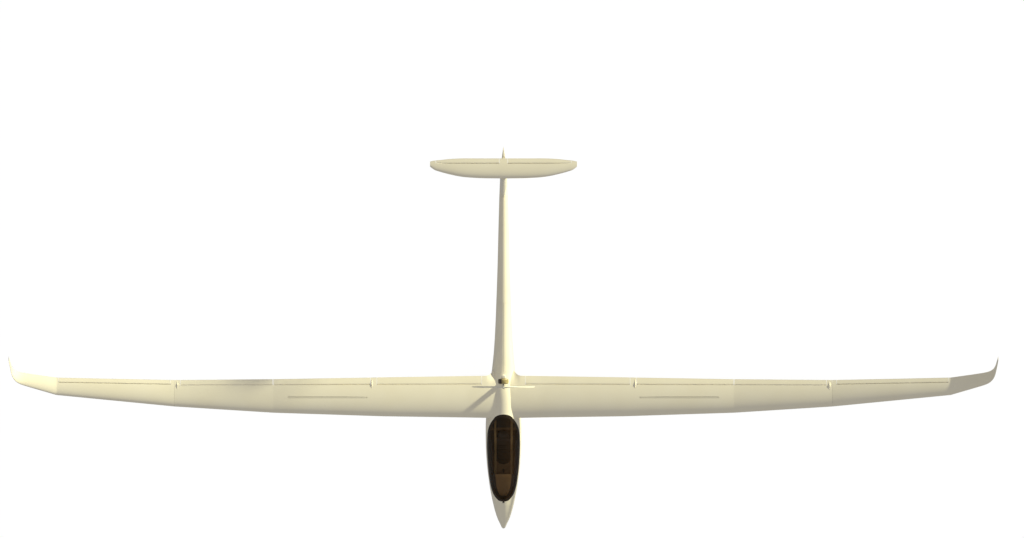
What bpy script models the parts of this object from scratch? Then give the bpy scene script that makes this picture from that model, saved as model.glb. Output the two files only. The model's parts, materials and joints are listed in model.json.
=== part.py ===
"""A single-seat self-launching sailplane of 18 m span, parked on its wheels and its left wing tip.

Everything is modelled in aircraft coordinates, in metres: x to the aircraft's left, y aft from
the tip of the nose, z up from the level of the tip of the nose. An empty named "parked" carries
it all, and leans the aircraft until both tyres and the left tip skid stand on the floor.
"""
import math

import bmesh
import bpy
import numpy as np
from mathutils import Matrix, Vector

for leftover in list(bpy.data.objects):
    bpy.data.objects.remove(leftover, do_unlink=True)

# Gaps
SEAM = 0.0003        # between pieces that are bolted or glued together
RUNNING = 0.006      # round a piece that moves

# Fuselage
RING_POINTS = 24
WAIST = 0.47         # height of the widest place, as a share of the depth
SHELL = 0.025        # wall of the cockpit
FRONT_END = 2.45     # frame where the front fuselage meets the tail boom
BOOM_END = 6.568     # stern frame, just ahead of the rudder
# station, half width, top, bottom
HULL = (
    (0.000, 0.010, 0.010, -0.010),
    (0.025, 0.034, 0.042, -0.036),
    (0.091, 0.064, 0.091, -0.073),
    (0.182, 0.108, 0.150, -0.112),
    (0.364, 0.166, 0.236, -0.164),
    (0.545, 0.208, 0.309, -0.200),
    (0.727, 0.243, 0.378, -0.222),
    (0.909, 0.270, 0.436, -0.234),
    (1.091, 0.292, 0.478, -0.238),
    (1.364, 0.314, 0.530, -0.236),
    (1.636, 0.323, 0.568, -0.214),
    (1.927, 0.322, 0.598, -0.166),
    (2.182, 0.304, 0.602, -0.106),
    (2.450, 0.274, 0.592, -0.041),
    (2.545, 0.262, 0.579, -0.018),
    (2.660, 0.244, 0.556, 0.007),
    (2.818, 0.220, 0.527, 0.042),
    (3.218, 0.176, 0.504, 0.108),
    (3.655, 0.149, 0.484, 0.160),
    (4.182, 0.128, 0.472, 0.202),
    (4.745, 0.109, 0.458, 0.234),
    (5.400, 0.093, 0.446, 0.258),
    (6.018, 0.076, 0.432, 0.274),
    (6.620, 0.052, 0.420, 0.292),
)

# Cockpit, wheel well and engine bay doors
COCKPIT_FRONT = 0.26
COCKPIT_BACK = 1.79
SHELF_BACK = 2.12
SHELF_HEIGHT = 0.30
MAT_HALF_WIDTH = 0.210   # raised mat on the shelf, clear of the walls
MAT_FRONT = 1.83
MAT_BACK = 2.08
MAT_THICKNESS = 0.008
WELL_FRONT = 1.84
WELL_BACK = 2.36
WELL_HALF_WIDTH = 0.110
WELL_TOP = 0.27
BAY_FRONT = 2.84
BAY_BACK = 4.10
BAY_HALF_WIDTH = 0.100
BAY_DOOR = 0.012

# Canopy: where its lower edge runs on the side of the fuselage (station, height)
SILL = (
    (0.487, 0.330), (0.500, 0.290), (0.543, 0.252), (0.600, 0.214), (0.700, 0.181), (0.813, 0.167),
    (1.016, 0.180), (1.300, 0.226), (1.573, 0.273), (1.700, 0.310), (1.796, 0.358), (1.900, 0.430),
    (1.980, 0.500), (2.030, 0.560), (2.052, 0.640),
)
CANOPY_WALL = 0.015
CANOPY_BAND = 0.034
CANOPY_HINGE = (0.470, 0.283)
HINGE_NOTCH = 0.0185  # half width of the notch for the hinge's lug
NOTCH_LENGTH = 0.050
HINGE_LUG = 0.015     # half width
LUG_LENGTH = 0.044
LUG_DEPTH = (-0.006, 0.008)
HINGE_PIN = 0.0065

# Wing: span position, leading edge, trailing edge, height, thickness, cant of the section in degrees
WING = (
    (0.150, 2.008, 2.782, 0.498, 0.104, 0.0),
    (0.664, 2.018, 2.773, 0.511, 0.100, 2.0),
    (2.180, 2.040, 2.749, 0.566, 0.090, 2.0),
    (4.190, 2.105, 2.715, 0.632, 0.074, 2.5),
    (5.980, 2.218, 2.700, 0.762, 0.058, 5.0),
    (7.300, 2.346, 2.726, 0.906, 0.046, 6.0),
    (8.130, 2.427, 2.745, 0.996, 0.038, 12.0),
    (8.610, 2.566, 2.812, 1.148, 0.029, 21.0),
    (8.830, 2.632, 2.848, 1.236, 0.025, 35.0),
    (8.905, 2.672, 2.872, 1.300, 0.022, 64.0),
    (8.930, 2.740, 2.908, 1.372, 0.018, 80.0),
    (8.968, 2.905, 3.030, 1.570, 0.014, 82.0),
    (8.996, 3.052, 3.127, 1.745, 0.010, 82.0),
)
CAMBER = 0.02        # rise of the section's middle line, as a share of the chord
EDGE = 0.0015        # half thickness of a trailing edge
WING_JOINT = 5.985   # where the outer panel is rigged to the inner one
# fillet at the wing's root: span position, how far its rear edge runs aft and how far it drops
FILLET = (
    (0.080, 0.130, 0.150),
    (0.150, 0.112, 0.120),
    (0.190, 0.082, 0.085),
    (0.225, 0.045, 0.045),
    (0.260, 0.018, 0.018),
    (0.316, 0.000, 0.000),
)
FILLET_START = 0.5   # share of the chord behind which the fillet runs aft
# ridge over a flap's drive on the rib outboard of it: span position, front, top and back
DRIVES = ((2.397, 2.540, 2.632, 2.735), (5.930, 2.520, 2.618, 2.688))
DRIVE_HALF_WIDTH = 0.013
DRIVE_HEIGHT = 0.014
DRIVE_SUNK = 0.004   # how far the ridge's edge lies inside the skin
DRIVE_ROOT = 0.010   # how far the middle of its underside lies below that
SURFACE_GAP = 0.005  # between a flap's end and the rib beside it
PIN_SHARE = 0.55     # radius of a hinge pin at a flap's end, as a share of the flap's nose radius
# name, span from, span to, hinge station at each end
WING_SURFACES = (
    ("flap_inner", 0.400, 2.300, 2.636, 2.630),
    ("flap_middle", 2.420, 4.179, 2.630, 2.623),
    ("flap_outer", 4.201, 5.870, 2.623, 2.616),
    ("aileron", 6.060, 8.090, 2.632, 2.668),
)
AIRBRAKE_SPAN = (2.487, 3.913)
AIRBRAKE_STATION = 2.386
AIRBRAKE_DEPTH = 0.060
AIRBRAKE_THICKNESS = 0.016
SKID_SPAN = 8.130    # skid under the wing tip
SKID_FRONT = 2.50
SKID_BACK = 2.62
SKID_HALF_WIDTH = 0.020
SKID_DEPTH = 0.040

# Tail: height, leading edge, hinge station, trailing edge, thickness of the fin
FIN = (
    (0.300, 5.975, 6.610, 6.870, 0.112),
    (0.440, 6.028, 6.622, 6.884, 0.112),
    (0.900, 6.156, 6.664, 6.905, 0.106),
    (1.505, 6.325, 6.719, 6.935, 0.095),
)
FIN_ROOT = 0.370              # height at which the fin starts, inside the boom
BRACKET_HALF_WIDTH = 0.014    # the rudder's lower bracket on the boom
BRACKET_THICKNESS = 0.008
RUDDER_PIN = 0.004            # its radius
PIN_PLAY = 0.0005             # under the rudder's foot, which dips as it turns about its leaning hinge
RUDDER_CAP = (1.552, 6.755)   # height of the rudder's tip, and where its front is there
CAP_DEPTH = 0.10              # how far the tip reaches down into the rudder
CAP_THICKNESS = (0.012, 0.0035)  # half, at its front and at its back
TAILPLANE_HEIGHT = 1.540
TAILPLANE_SEAT = 1.520        # flat on the underside, where it is bolted to the fin
# half span, leading edge, hinge station, trailing edge, thickness
TAILPLANE = (
    (0.000, 6.364, 6.650, 6.729, 0.050),
    (0.500, 6.374, 6.650, 6.729, 0.046),
    (0.760, 6.395, 6.650, 6.729, 0.042),
    (1.010, 6.446, 6.650, 6.716, 0.034),
    (1.150, 6.484, 6.650, 6.700, 0.026),
    (1.270, 6.528, 6.650, 6.688, 0.018),
    (1.336, 6.580, 6.640, 6.672, 0.010),
)
ELEVATOR_SPAN = (0.080, 1.230)

# Wheels
# one side of a tyre: share of its half width, share of the way from the rim to the tread
TYRE_PROFILE = ((0.72, 0.0), (1.0, 0.45), (0.88, 0.78), (0.45, 0.96), (0.0, 1.0))
# one side of a hub: share of the tyre's half width, share of the rim's radius
HUB_PROFILE = ((0.70, 0.80), (0.25, 0.70), (0.25, 0.35), (0.55, 0.30))
MAIN_AXLE = (2.060, -0.262)
MAIN_RADIUS = 0.180
MAIN_WIDTH = 0.120
MAIN_RIM = 0.095
# open gear door, seen from the front: distance outwards from the well's side, height above the keel
DOOR_PROFILE = (
    (0.000, 0.050), (0.000, -0.002), (0.020, -0.112), (0.012, -0.114), (-0.008, -0.004), (-0.008, 0.050),
)
MAIN_AXLE_RADIUS = 0.0125
GEAR_TUBE = (2.270, 0.060)    # cross tube in the well that carries both legs
TUBE_RADIUS = 0.020
LEG_PLACE = (0.072, 0.084)    # the inner and outer side of a leg
LEG_FOOT = 0.021              # half width of a leg at the axle, and how far it reaches past it
LEG_HEAD = 0.026              # half width at the tube
TAIL_AXLE = (6.330, 0.252)
TAIL_RADIUS = 0.100
TAIL_WIDTH = 0.056
TAIL_RIM = 0.052
TAIL_AXLE_RADIUS = 0.0085
TAIL_SLOT = 0.036             # half width of the slot in the boom
CHEEK_PLACE = (0.0368, 0.046)
CHEEK_TOP = 0.300
CHEEK_HEAD = 0.060            # half lengths of a cheek
CHEEK_FOOT = 0.022

# Cockpit fittings: side outlines of (station, height) points, and half widths
FLOOR = -0.30
SEAT_PROFILE = (
    (0.98, FLOOR), (0.98, -0.110), (1.20, -0.145), (1.36, -0.120), (1.52, 0.040), (1.66, 0.280),
    (1.72, 0.270), (1.70, FLOOR),
)
SEAT_HALF_WIDTH = 0.20
HEADREST = (1.700, 0.366)
HEADREST_RADIUS = 0.092
HEADREST_HALF_WIDTH = 0.105
HOOD_PROFILE = ((0.60, 0.110), (0.60, 0.225), (0.80, 0.300), (0.985, 0.335), (1.000, 0.325), (0.945, 0.060))
HOOD_HALF_WIDTH = 0.23
HOOD_CLEAR = 0.012            # from the cockpit's wall
PEDESTAL = (0.66, 0.90)
PEDESTAL_HALF_WIDTH = 0.075
STICK_FOOT = (1.060, -0.1187)
STICK_TOP = (1.030, 0.150)
STICK_RADIUS = 0.014

# Pylon, motor and propeller
# height, station, length and width of the mast's sections: it leans aft behind the motor
PYLON = ((0.400, 2.646, 0.088, 0.096), (1.260, 2.759, 0.084, 0.094))
MOTOR_FRONT = 2.628
MOTOR_HEIGHT = 1.190
MOTOR_RADIUS = 0.094
MOTOR_LENGTH = 0.094
SHAFT_RADIUS = 0.016
HUB_RADIUS = 0.034
HUB_BACK = 0.026
PROPELLER_STATION = 2.573
PROPELLER_REST = math.radians(20.0)
# radius, chord, pitch in degrees, thickness, sweep of the blade
BLADE = (
    (0.022, 0.044, 34.0, 0.024, 0.000),
    (0.100, 0.066, 22.0, 0.018, 0.004),
    (0.200, 0.086, 16.0, 0.014, 0.010),
    (0.310, 0.116, 13.0, 0.011, 0.014),
    (0.430, 0.152, 11.0, 0.009, 0.012),
    (0.520, 0.166, 10.0, 0.007, 0.006),
    (0.575, 0.146, 9.0, 0.005, 0.000),
    (0.600, 0.084, 9.0, 0.003, -0.006),
)

# Colour, roughness, metallic
FINISHES = {
    "white_gelcoat": ((0.86, 0.82, 0.68), 0.25, 0.0),
    "tinted_acrylic": ((0.10, 0.08, 0.06), 0.08, 0.0),
    "dark_leather": ((0.03, 0.03, 0.03), 0.60, 0.0),
    "seat_fabric": ((0.30, 0.27, 0.24), 0.90, 0.0),
    "tyre_rubber": ((0.02, 0.02, 0.02), 0.85, 0.0),
    "cast_aluminium": ((0.55, 0.54, 0.50), 0.40, 0.9),
    "painted_steel": ((0.45, 0.45, 0.43), 0.45, 0.6),
    "motor_casing": ((0.32, 0.28, 0.14), 0.45, 0.7),
    "white_blade": ((0.84, 0.82, 0.75), 0.35, 0.0),
    "dark_frame": ((0.05, 0.04, 0.03), 0.45, 0.0),
}

parked = bpy.data.objects.new("parked", None)
bpy.context.scene.collection.objects.link(parked)


def finish(name):
    """The named material, made the first time it is asked for."""
    material = bpy.data.materials.get(name)
    if material is None:
        colour, roughness, metallic = FINISHES[name]
        material = bpy.data.materials.new(name)
        material.use_nodes = True
        shader = material.node_tree.nodes["Principled BSDF"]
        shader.inputs["Base Color"].default_value = (*colour, 1.0)
        shader.inputs["Roughness"].default_value = roughness
        shader.inputs["Metallic"].default_value = metallic
    return material


def piece(name, points, faces, material):
    """A mesh object with its faces turned outwards, carried by the parked empty."""
    shape = bmesh.new()
    corners = [shape.verts.new(point) for point in points]
    for face in faces:
        shape.faces.new([corners[index] for index in face])
    bmesh.ops.recalc_face_normals(shape, faces=shape.faces)
    mesh = bpy.data.meshes.new(name)
    shape.to_mesh(mesh)
    shape.free()
    mesh.materials.append(finish(material))
    mesh.shade_smooth()
    mesh.set_sharp_from_angle(angle=math.radians(40.0))
    made = bpy.data.objects.new(name, mesh)
    bpy.context.scene.collection.objects.link(made)
    made.parent = parked
    return made


def loft(name, rings, material, closed=False):
    """A skin over rings of equally many points, capped at both ends or closed into a torus."""
    count = len(rings[0])
    points = [tuple(point) for ring in rings for point in ring]
    spans = len(rings) if closed else len(rings) - 1
    faces = []
    for row in range(spans):
        lower = row * count
        upper = (row + 1) % len(rings) * count
        for step in range(count):
            turn = (step + 1) % count
            faces.append((lower + step, lower + turn, upper + turn))
            faces.append((lower + step, upper + turn, upper + step))
    if not closed:
        faces.append(tuple(range(count)))
        faces.append(tuple(range(len(points) - count, len(points))))
    return piece(name, points, faces, material)


def block(name, low, high, material="painted_steel"):
    """A box between two opposite corners."""
    (x0, y0, z0), (x1, y1, z1) = low, high
    rings = [[(x, y0, z0), (x, y1, z0), (x, y1, z1), (x, y0, z1)] for x in (x0, x1)]
    return loft(name, rings, material)


def prism(name, outline, low, high, material="painted_steel"):
    """A side outline of (station, height) points, drawn out across the aircraft."""
    rings = [[(x, y, z) for y, z in outline] for x in (low, high)]
    return loft(name, rings, material)


def rod(name, start, end, radius, material="painted_steel", sides=16, end_radius=None):
    """A round bar, or a cone, from one point to another."""
    start, end = Vector(start), Vector(end)
    across = (end - start).orthogonal().normalized()
    beside = (end - start).normalized().cross(across)
    rings = []
    for centre, reach in ((start, radius), (end, radius if end_radius is None else end_radius)):
        ring = []
        for step in range(sides):
            angle = 2.0 * math.pi * step / sides
            ring.append(centre + reach * (math.cos(angle) * across + math.sin(angle) * beside))
        rings.append(ring)
    return loft(name, rings, material)


def combine(target, tool, operation):
    """Cuts, joins or keeps what is common, and takes the tool away."""
    change = target.modifiers.new("combine", "BOOLEAN")
    change.operation = operation
    change.solver = "EXACT"
    change.object = tool
    bpy.context.view_layer.update()
    evaluated = target.evaluated_get(bpy.context.evaluated_depsgraph_get())
    mesh = bpy.data.meshes.new_from_object(evaluated)
    target.modifiers.clear()
    target.data = mesh
    bpy.data.objects.remove(tool, do_unlink=True)
    return target


def cut(target, tool):
    return combine(target, tool, "DIFFERENCE")


def join(target, tool):
    return combine(target, tool, "UNION")


def keep(target, tool):
    return combine(target, tool, "INTERSECT")


def hang(made, pivot):
    """Moves a piece's origin to its joint's axis, without moving its shape."""
    made.data.transform(Matrix.Translation(-Vector(pivot)))
    made.location = pivot
    return made


def read_off(table, place):
    """A table's other columns, interpolated at a place in its first column."""
    columns = np.array(table).T
    return [float(np.interp(place, columns[0], column)) for column in columns[1:]]


def hull_ring(station, inset=0.0):
    """The fuselage's section at a station: two half ellipses that meet at the waist."""
    half, top, bottom = read_off(HULL, station)
    waist = bottom + WAIST * (top - bottom)
    ring = []
    for step in range(RING_POINTS):
        angle = 2.0 * math.pi * step / RING_POINTS
        rise = (top - waist if math.sin(angle) > 0.0 else waist - bottom) - inset
        ring.append(((half - inset) * math.cos(angle), station, waist + rise * math.sin(angle)))
    return ring


def hull(name, start, end, inset=0.0, material="white_gelcoat"):
    """A stretch of the fuselage's skin as a solid, shrunk by inset."""
    stations = [row[0] for row in HULL if start < row[0] < end]
    return loft(name, [hull_ring(place, inset) for place in [start, *stations, end]], material)


def sill_outline(raised):
    """The region above the sill line, moved inwards by a distance along the line's normals."""
    line = [Vector(point) for point in SILL]
    moved = []
    for index, point in enumerate(line):
        before = line[max(index - 1, 0)]
        after = line[min(index + 1, len(line) - 1)]
        along = (after - before).normalized()
        moved.append(point + raised * Vector((-along.y, along.x)))
    top = 0.9
    return [(moved[0].x, top), *[tuple(point) for point in moved], (moved[-1].x, top)]


def make_front_fuselage():
    """Nose, cockpit and wheel well: one moulded shell with the canopy's opening in it."""
    front = hull("fuselage_front", 0.0, FRONT_END)
    cut(front, hull("hollow", COCKPIT_FRONT, COCKPIT_BACK, SHELL))
    shelf = hull("shelf", COCKPIT_BACK - 0.05, SHELF_BACK, SHELL)
    keep(shelf, block("above", (-1.0, COCKPIT_BACK - 0.1, SHELF_HEIGHT - MAT_THICKNESS), (1.0, 3.0, 1.0)))
    cut(shelf, block("mat", (-MAT_HALF_WIDTH, MAT_FRONT, 0.0), (MAT_HALF_WIDTH, MAT_BACK, SHELF_HEIGHT)))
    cut(front, shelf)
    cut(front, prism("opening", sill_outline(0.0), -0.5, 0.5))
    station, height = CANOPY_HINGE
    cut(front, block("notch", (-HINGE_NOTCH, station - HINGE_PIN - SEAM, height - HINGE_PIN - SEAM),
                     (HINGE_NOTCH, station + NOTCH_LENGTH, 0.5)))
    cut(front, block("well", (-WELL_HALF_WIDTH, WELL_FRONT, -0.5),
                     (WELL_HALF_WIDTH, WELL_BACK, WELL_TOP)))


def make_canopy():
    """A one-piece transparency bonded to a slim frame, hinged at the nose."""
    pivot = (0.0, *CANOPY_HINGE)
    span = (0.46, 2.10)

    def skin(name, material):
        outer = hull(name, *span, material=material)
        return cut(outer, hull("inside", span[0] - 0.01, span[1] + 0.01, CANOPY_WALL))

    frame = skin("canopy_frame", "dark_frame")
    keep(frame, prism("edge", sill_outline(RUNNING), -0.5, 0.5))
    cut(frame, prism("inner", sill_outline(RUNNING + CANOPY_BAND), -0.6, 0.6))
    station, height = CANOPY_HINGE
    join(frame, block("lug", (-HINGE_LUG, station, height + LUG_DEPTH[0]),
                      (HINGE_LUG, station + LUG_LENGTH, height + LUG_DEPTH[1])))
    reach = HINGE_NOTCH - SEAM
    join(frame, rod("pin", (-reach, station, height), (reach, station, height), HINGE_PIN))
    glass = skin("canopy_glass", "tinted_acrylic")
    keep(glass, prism("edge", sill_outline(RUNNING + CANOPY_BAND + SEAM), -0.5, 0.5))
    hang(frame, pivot)
    hang(glass, pivot)


def make_boom():
    """The tail boom, with a recess for the engine bay's doors and a slot for the tail wheel."""
    boom = hull("tail_boom", FRONT_END + SEAM, BOOM_END)
    recess = hull("recess", BAY_FRONT, BAY_BACK, -0.02)
    cut(recess, hull("floor", BAY_FRONT - 0.01, BAY_BACK + 0.01, BAY_DOOR + SEAM))
    keep(recess, block("lid", (-BAY_HALF_WIDTH, BAY_FRONT, 0.33), (BAY_HALF_WIDTH, BAY_BACK, 0.9)))
    cut(boom, recess)
    foot, hinge = FIN[0][0], FIN[0][2]
    ledge = foot - RUNNING
    join(boom, block("rudder_bracket", (-BRACKET_HALF_WIDTH, BOOM_END - 0.05, ledge - BRACKET_THICKNESS),
                     (BRACKET_HALF_WIDTH, hinge + BRACKET_HALF_WIDTH, ledge)))
    join(boom, rod("rudder_pin", (0.0, hinge, ledge - 0.5 * BRACKET_THICKNESS),
                   (0.0, hinge, foot - PIN_PLAY), RUDDER_PIN))
    axle_station, axle_height = TAIL_AXLE
    reach = TAIL_RADIUS + 2.0 * RUNNING
    cut(boom, block("slot", (-TAIL_SLOT, axle_station - reach, 0.1),
                    (TAIL_SLOT, axle_station + reach, axle_height + reach)))
    for side, name in ((1, "engine_bay_door_left"), (-1, "engine_bay_door_right")):
        door = hull(name, BAY_FRONT + SEAM, BAY_BACK - SEAM)
        cut(door, hull("under", BAY_FRONT - 0.01, BAY_BACK + 0.01, BAY_DOOR))
        inner, outer = sorted((side * SEAM, side * (BAY_HALF_WIDTH - SEAM)))
        keep(door, block("half", (inner, BAY_FRONT - 0.01, 0.33), (outer, BAY_BACK + 0.01, 0.9)))


def wing_at(x):
    """Leading edge, trailing edge, height, thickness and cant of the wing at a span position."""
    return read_off(WING, x)


AIRFOIL_STEPS = (0.0, 0.012, 0.05, 0.13, 0.27, 0.45, 0.65, 0.83, 1.0)


def airfoil_half(share):
    """Half thickness of a classic four-digit section, as a share of the full thickness."""
    root = math.sqrt(share)
    series = 0.2969 * root - 0.1260 * share - 0.3516 * share**2 + 0.2843 * share**3
    return 5.0 * (series - 0.1015 * share**4)


def airfoil_ring(place, lead, trail, thickness, cant=0.0, camber=CAMBER):
    """A wing section at (x, z): chord along y, thickness along the canted normal."""
    x, z = place
    normal = Vector((-math.sin(cant), 0.0, math.cos(cant)))
    chord = trail - lead

    def surface(share, way):
        offset = way * max(thickness * airfoil_half(share), EDGE)
        offset += camber * chord * 4.0 * share * (1.0 - share)
        return Vector((x, lead + share * chord, z)) + offset * normal

    upper = [surface(share, 1) for share in AIRFOIL_STEPS[:0:-1]]
    lower = [surface(share, -1) for share in AIRFOIL_STEPS[1:]]
    return [*upper, surface(0.0, 0), *lower]


def wing_ring(x, side):
    lead, trail, height, thickness, cant = wing_at(x)
    ring = airfoil_ring((x, height), lead, trail, thickness, math.radians(cant))
    return [(side * point[0], point[1], point[2]) for point in ring]


def root_ring(x, side):
    """A section of the fillet: the wing's own, with its rear end drawn aft and down the fuselage."""
    aft, fall = read_off(FILLET, x)
    lead, trail = wing_at(x)[:2]
    ring = []
    for out, station, height in wing_ring(x, side):
        share = (station - lead) / (trail - lead)
        pull = max(share - FILLET_START, 0.0) / (1.0 - FILLET_START)
        ring.append((out, station + pull * aft, height - pull**3 * fall))
    return ring


def surface_place(x, hinge):
    """Height of a control surface's axis, half the wing's thickness there and its length aft."""
    lead, trail, height, thickness, _ = wing_at(x)
    share = (hinge - lead) / (trail - lead)
    rise = CAMBER * (trail - lead) * 4.0 * share * (1.0 - share)
    return height + rise, thickness * airfoil_half(share), trail - hinge


def vane_ring(axis, chord, normal, radius):
    """A control surface's section: a round nose about its hinge, tapering to a thin edge."""
    axis, chord, normal = Vector(axis), Vector(chord), Vector(normal)
    along = chord.normalized()
    ring = []
    for step in range(7):
        angle = math.pi * step / 6.0
        ring.append(axis + radius * (math.cos(angle) * normal - math.sin(angle) * along))
    return [*ring, axis + chord - EDGE * normal, axis + chord + EDGE * normal]


def pin_ring(axis, ring, radius, shift):
    """A small circle about the axis, whose points lie at the same angles as the vane's."""
    axis = Vector(axis)
    return [axis + radius * (Vector(point) - axis).normalized() + Vector(shift) for point in ring]


def vane(name, stations, pin_length):
    """A control surface from (axis, chord, normal, radius) stations, with a hinge pin at each end."""
    rings = [vane_ring(*station) for station in stations]
    start, end = Vector(stations[0][0]), Vector(stations[-1][0])
    along = (end - start).normalized()
    pin = PIN_SHARE * min(stations[0][3], stations[-1][3])
    head = [pin_ring(start, rings[0], pin, -pin_length * along), pin_ring(start, rings[0], pin, (0, 0, 0))]
    tail = [pin_ring(end, rings[-1], pin, (0, 0, 0)), pin_ring(end, rings[-1], pin, pin_length * along)]
    return loft(name, [*head, *rings, *tail], "white_gelcoat")


def make_wing(side, suffix):
    """One wing: inner and outer panels, flaps, aileron and airbrake."""
    inner = loft(f"wing_inner_{suffix}",
                 [*[root_ring(row[0], side) for row in FILLET],
                  *[wing_ring(row[0], side) for row in WING if FILLET[-1][0] < row[0] < WING_JOINT],
                  wing_ring(WING_JOINT, side)], "white_gelcoat")
    outer = loft(f"wing_outer_{suffix}",
                 [wing_ring(WING_JOINT + SEAM, side)]
                 + [wing_ring(row[0], side) for row in WING if row[0] > WING_JOINT], "white_gelcoat")
    cut(inner, hull("body", 1.5, FRONT_END + 0.9, -SEAM))
    for name, x0, x1, hinge0, hinge1 in WING_SURFACES:
        bay = []
        for x, hinge in ((x0 - SURFACE_GAP, hinge0), (x1 + SURFACE_GAP, hinge1)):
            height, radius, _ = surface_place(x, hinge)
            front = hinge - radius - RUNNING
            bay.append([(side * x, front, height - 0.2), (side * x, front, height + 0.2),
                        (side * x, front + 0.4, height + 0.2), (side * x, front + 0.4, height - 0.2)])
        cut(outer if name == "aileron" else inner, loft("bay", bay, "white_gelcoat"))
        stations = []
        for x, hinge in ((x0, hinge0), (x1, hinge1)):
            height, radius, length = surface_place(x, hinge)
            drop = wing_at(x)[2] - height
            stations.append(((side * x, hinge, height), (0.0, length, drop), (0.0, 0.0, 1.0), radius))
        made = vane(f"{name}_{suffix}", stations, SURFACE_GAP - SEAM)
        hang(made, stations[0][0])
    make_airbrake(side, suffix, inner)
    for drive in DRIVES:
        join(inner, make_drive(side, *drive))
    _, _, height, thickness, _ = wing_at(SKID_SPAN)
    under = height - 0.5 * thickness
    join(outer, block("skid", (side * SKID_SPAN - SKID_HALF_WIDTH, SKID_FRONT, under - SKID_DEPTH),
                      (side * SKID_SPAN + SKID_HALF_WIDTH, SKID_BACK, under + 0.012), "white_gelcoat"))


def make_drive(side, x, front, top, back):
    """A streamlined ridge over the lever that drives a flap, sunk into the wing's upper skin."""
    ring = []
    for station, half, raised in ((front, 0.0, -DRIVE_SUNK), (top, DRIVE_HALF_WIDTH, -DRIVE_SUNK),
                                  (top, 0.0, DRIVE_HEIGHT), (back, 0.0, -DRIVE_SUNK)):
        height, half_thickness, _ = surface_place(x, station)
        ring.append((half, station, height + half_thickness + raised))
    tip, foot, crest, tail = ring
    below = 0.5 * (Vector(tip) + Vector(tail)) - Vector((0.0, 0.0, DRIVE_ROOT))
    points = [(side * (x + out), y, z) for out, y, z in
              (tip, foot, crest, tail, (-foot[0], foot[1], foot[2]), tuple(below))]
    faces = [(0, 1, 2), (1, 3, 2), (0, 2, 4), (4, 2, 3), (0, 5, 1), (1, 5, 3), (0, 4, 5), (4, 3, 5)]
    return piece("drive", points, faces, "white_gelcoat")


def airbrake_surface(x):
    """Height of the wing's upper skin above the airbrake's slot."""
    height, half_thickness, _ = surface_place(x, AIRBRAKE_STATION)
    return height + half_thickness


def make_airbrake(side, suffix, wing):
    """A blade that slides up out of a slot in the wing's upper skin."""
    rings = {"slot": [], "blade": []}
    for x, grow in zip(AIRBRAKE_SPAN, (-1.0, 1.0)):
        top = airbrake_surface(x)
        for name, gap, high, low in (("slot", RUNNING, 0.03, AIRBRAKE_DEPTH + SEAM),
                                     ("blade", 0.0, -0.0005, AIRBRAKE_DEPTH)):
            place = side * (x + grow * gap)
            front = AIRBRAKE_STATION - 0.5 * AIRBRAKE_THICKNESS - gap
            back = AIRBRAKE_STATION + 0.5 * AIRBRAKE_THICKNESS + gap
            rings[name].append([(place, front, top - low), (place, back, top - low),
                                (place, back, top + high), (place, front, top + high)])
    cut(wing, loft("slot", rings["slot"], "white_gelcoat"))
    loft(f"airbrake_{suffix}", rings["blade"], "white_gelcoat")


def fin_at(z):
    """Leading edge, hinge station, trailing edge and thickness of the fin at a height."""
    return read_off(FIN, z)


def make_fin():
    """The fin, moulded on to the boom, and the rudder behind it."""
    top = TAILPLANE_SEAT - SEAM
    rings = []
    for z in [FIN_ROOT, *[row[0] for row in FIN if row[0] > FIN_ROOT], top]:
        lead, hinge, trail, thickness = fin_at(z)
        ring = airfoil_ring((0.0, 0.0), lead, trail, thickness, camber=0.0)
        rings.append([(point.z, point.y, z) for point in ring])
    fin = loft("fin", rings, "white_gelcoat")
    stern = []
    stations = []
    for z in (FIN[0][0], FIN[-1][0]):
        lead, hinge, trail, thickness = fin_at(z)
        radius = thickness * airfoil_half((hinge - lead) / (trail - lead))
        front = hinge - radius - RUNNING
        stern.append([(-0.3, front, z), (0.3, front, z), (0.3, front + 1.0, z), (-0.3, front + 1.0, z)])
        stations.append(((0.0, hinge, z), (0.0, trail - hinge, 0.0), (1.0, 0.0, 0.0), radius))
    slope = (stern[1][0][1] - stern[0][0][1]) / (FIN[-1][0] - FIN[0][0])
    stretched = [[(x, y - 0.3 * slope, z - 0.3) for x, y, z in stern[0]],
                 [(x, y + 0.3 * slope, z + 0.3) for x, y, z in stern[1]]]
    cut(fin, loft("stern", stretched, "white_gelcoat"))
    cut(fin, hull("body", 5.5, BOOM_END, -SEAM))
    make_rudder(stations)


def make_rudder(stations):
    """The rudder: its tip rises behind the tailplane, and its foot closes the boom's end."""
    low, high = stations
    rudder = loft("rudder", [vane_ring(*low), vane_ring(*high)], "white_gelcoat")
    tip_height, tip_front = RUDDER_CAP
    tip_back = high[0][1] + high[1][1] - 2.0 * EDGE
    wide, narrow = CAP_THICKNESS
    join(rudder, loft("tip", [[(-wide, tip_front, z), (wide, tip_front, z), (narrow, tip_back, z),
                               (-narrow, tip_back, z)] for z in (high[0][2] - CAP_DEPTH, tip_height)],
                      "white_gelcoat"))
    hang(rudder, low[0])


def tail_at(x):
    """Leading edge, hinge station, trailing edge and thickness of the tailplane at a half span."""
    return read_off(TAILPLANE, abs(x))


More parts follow.
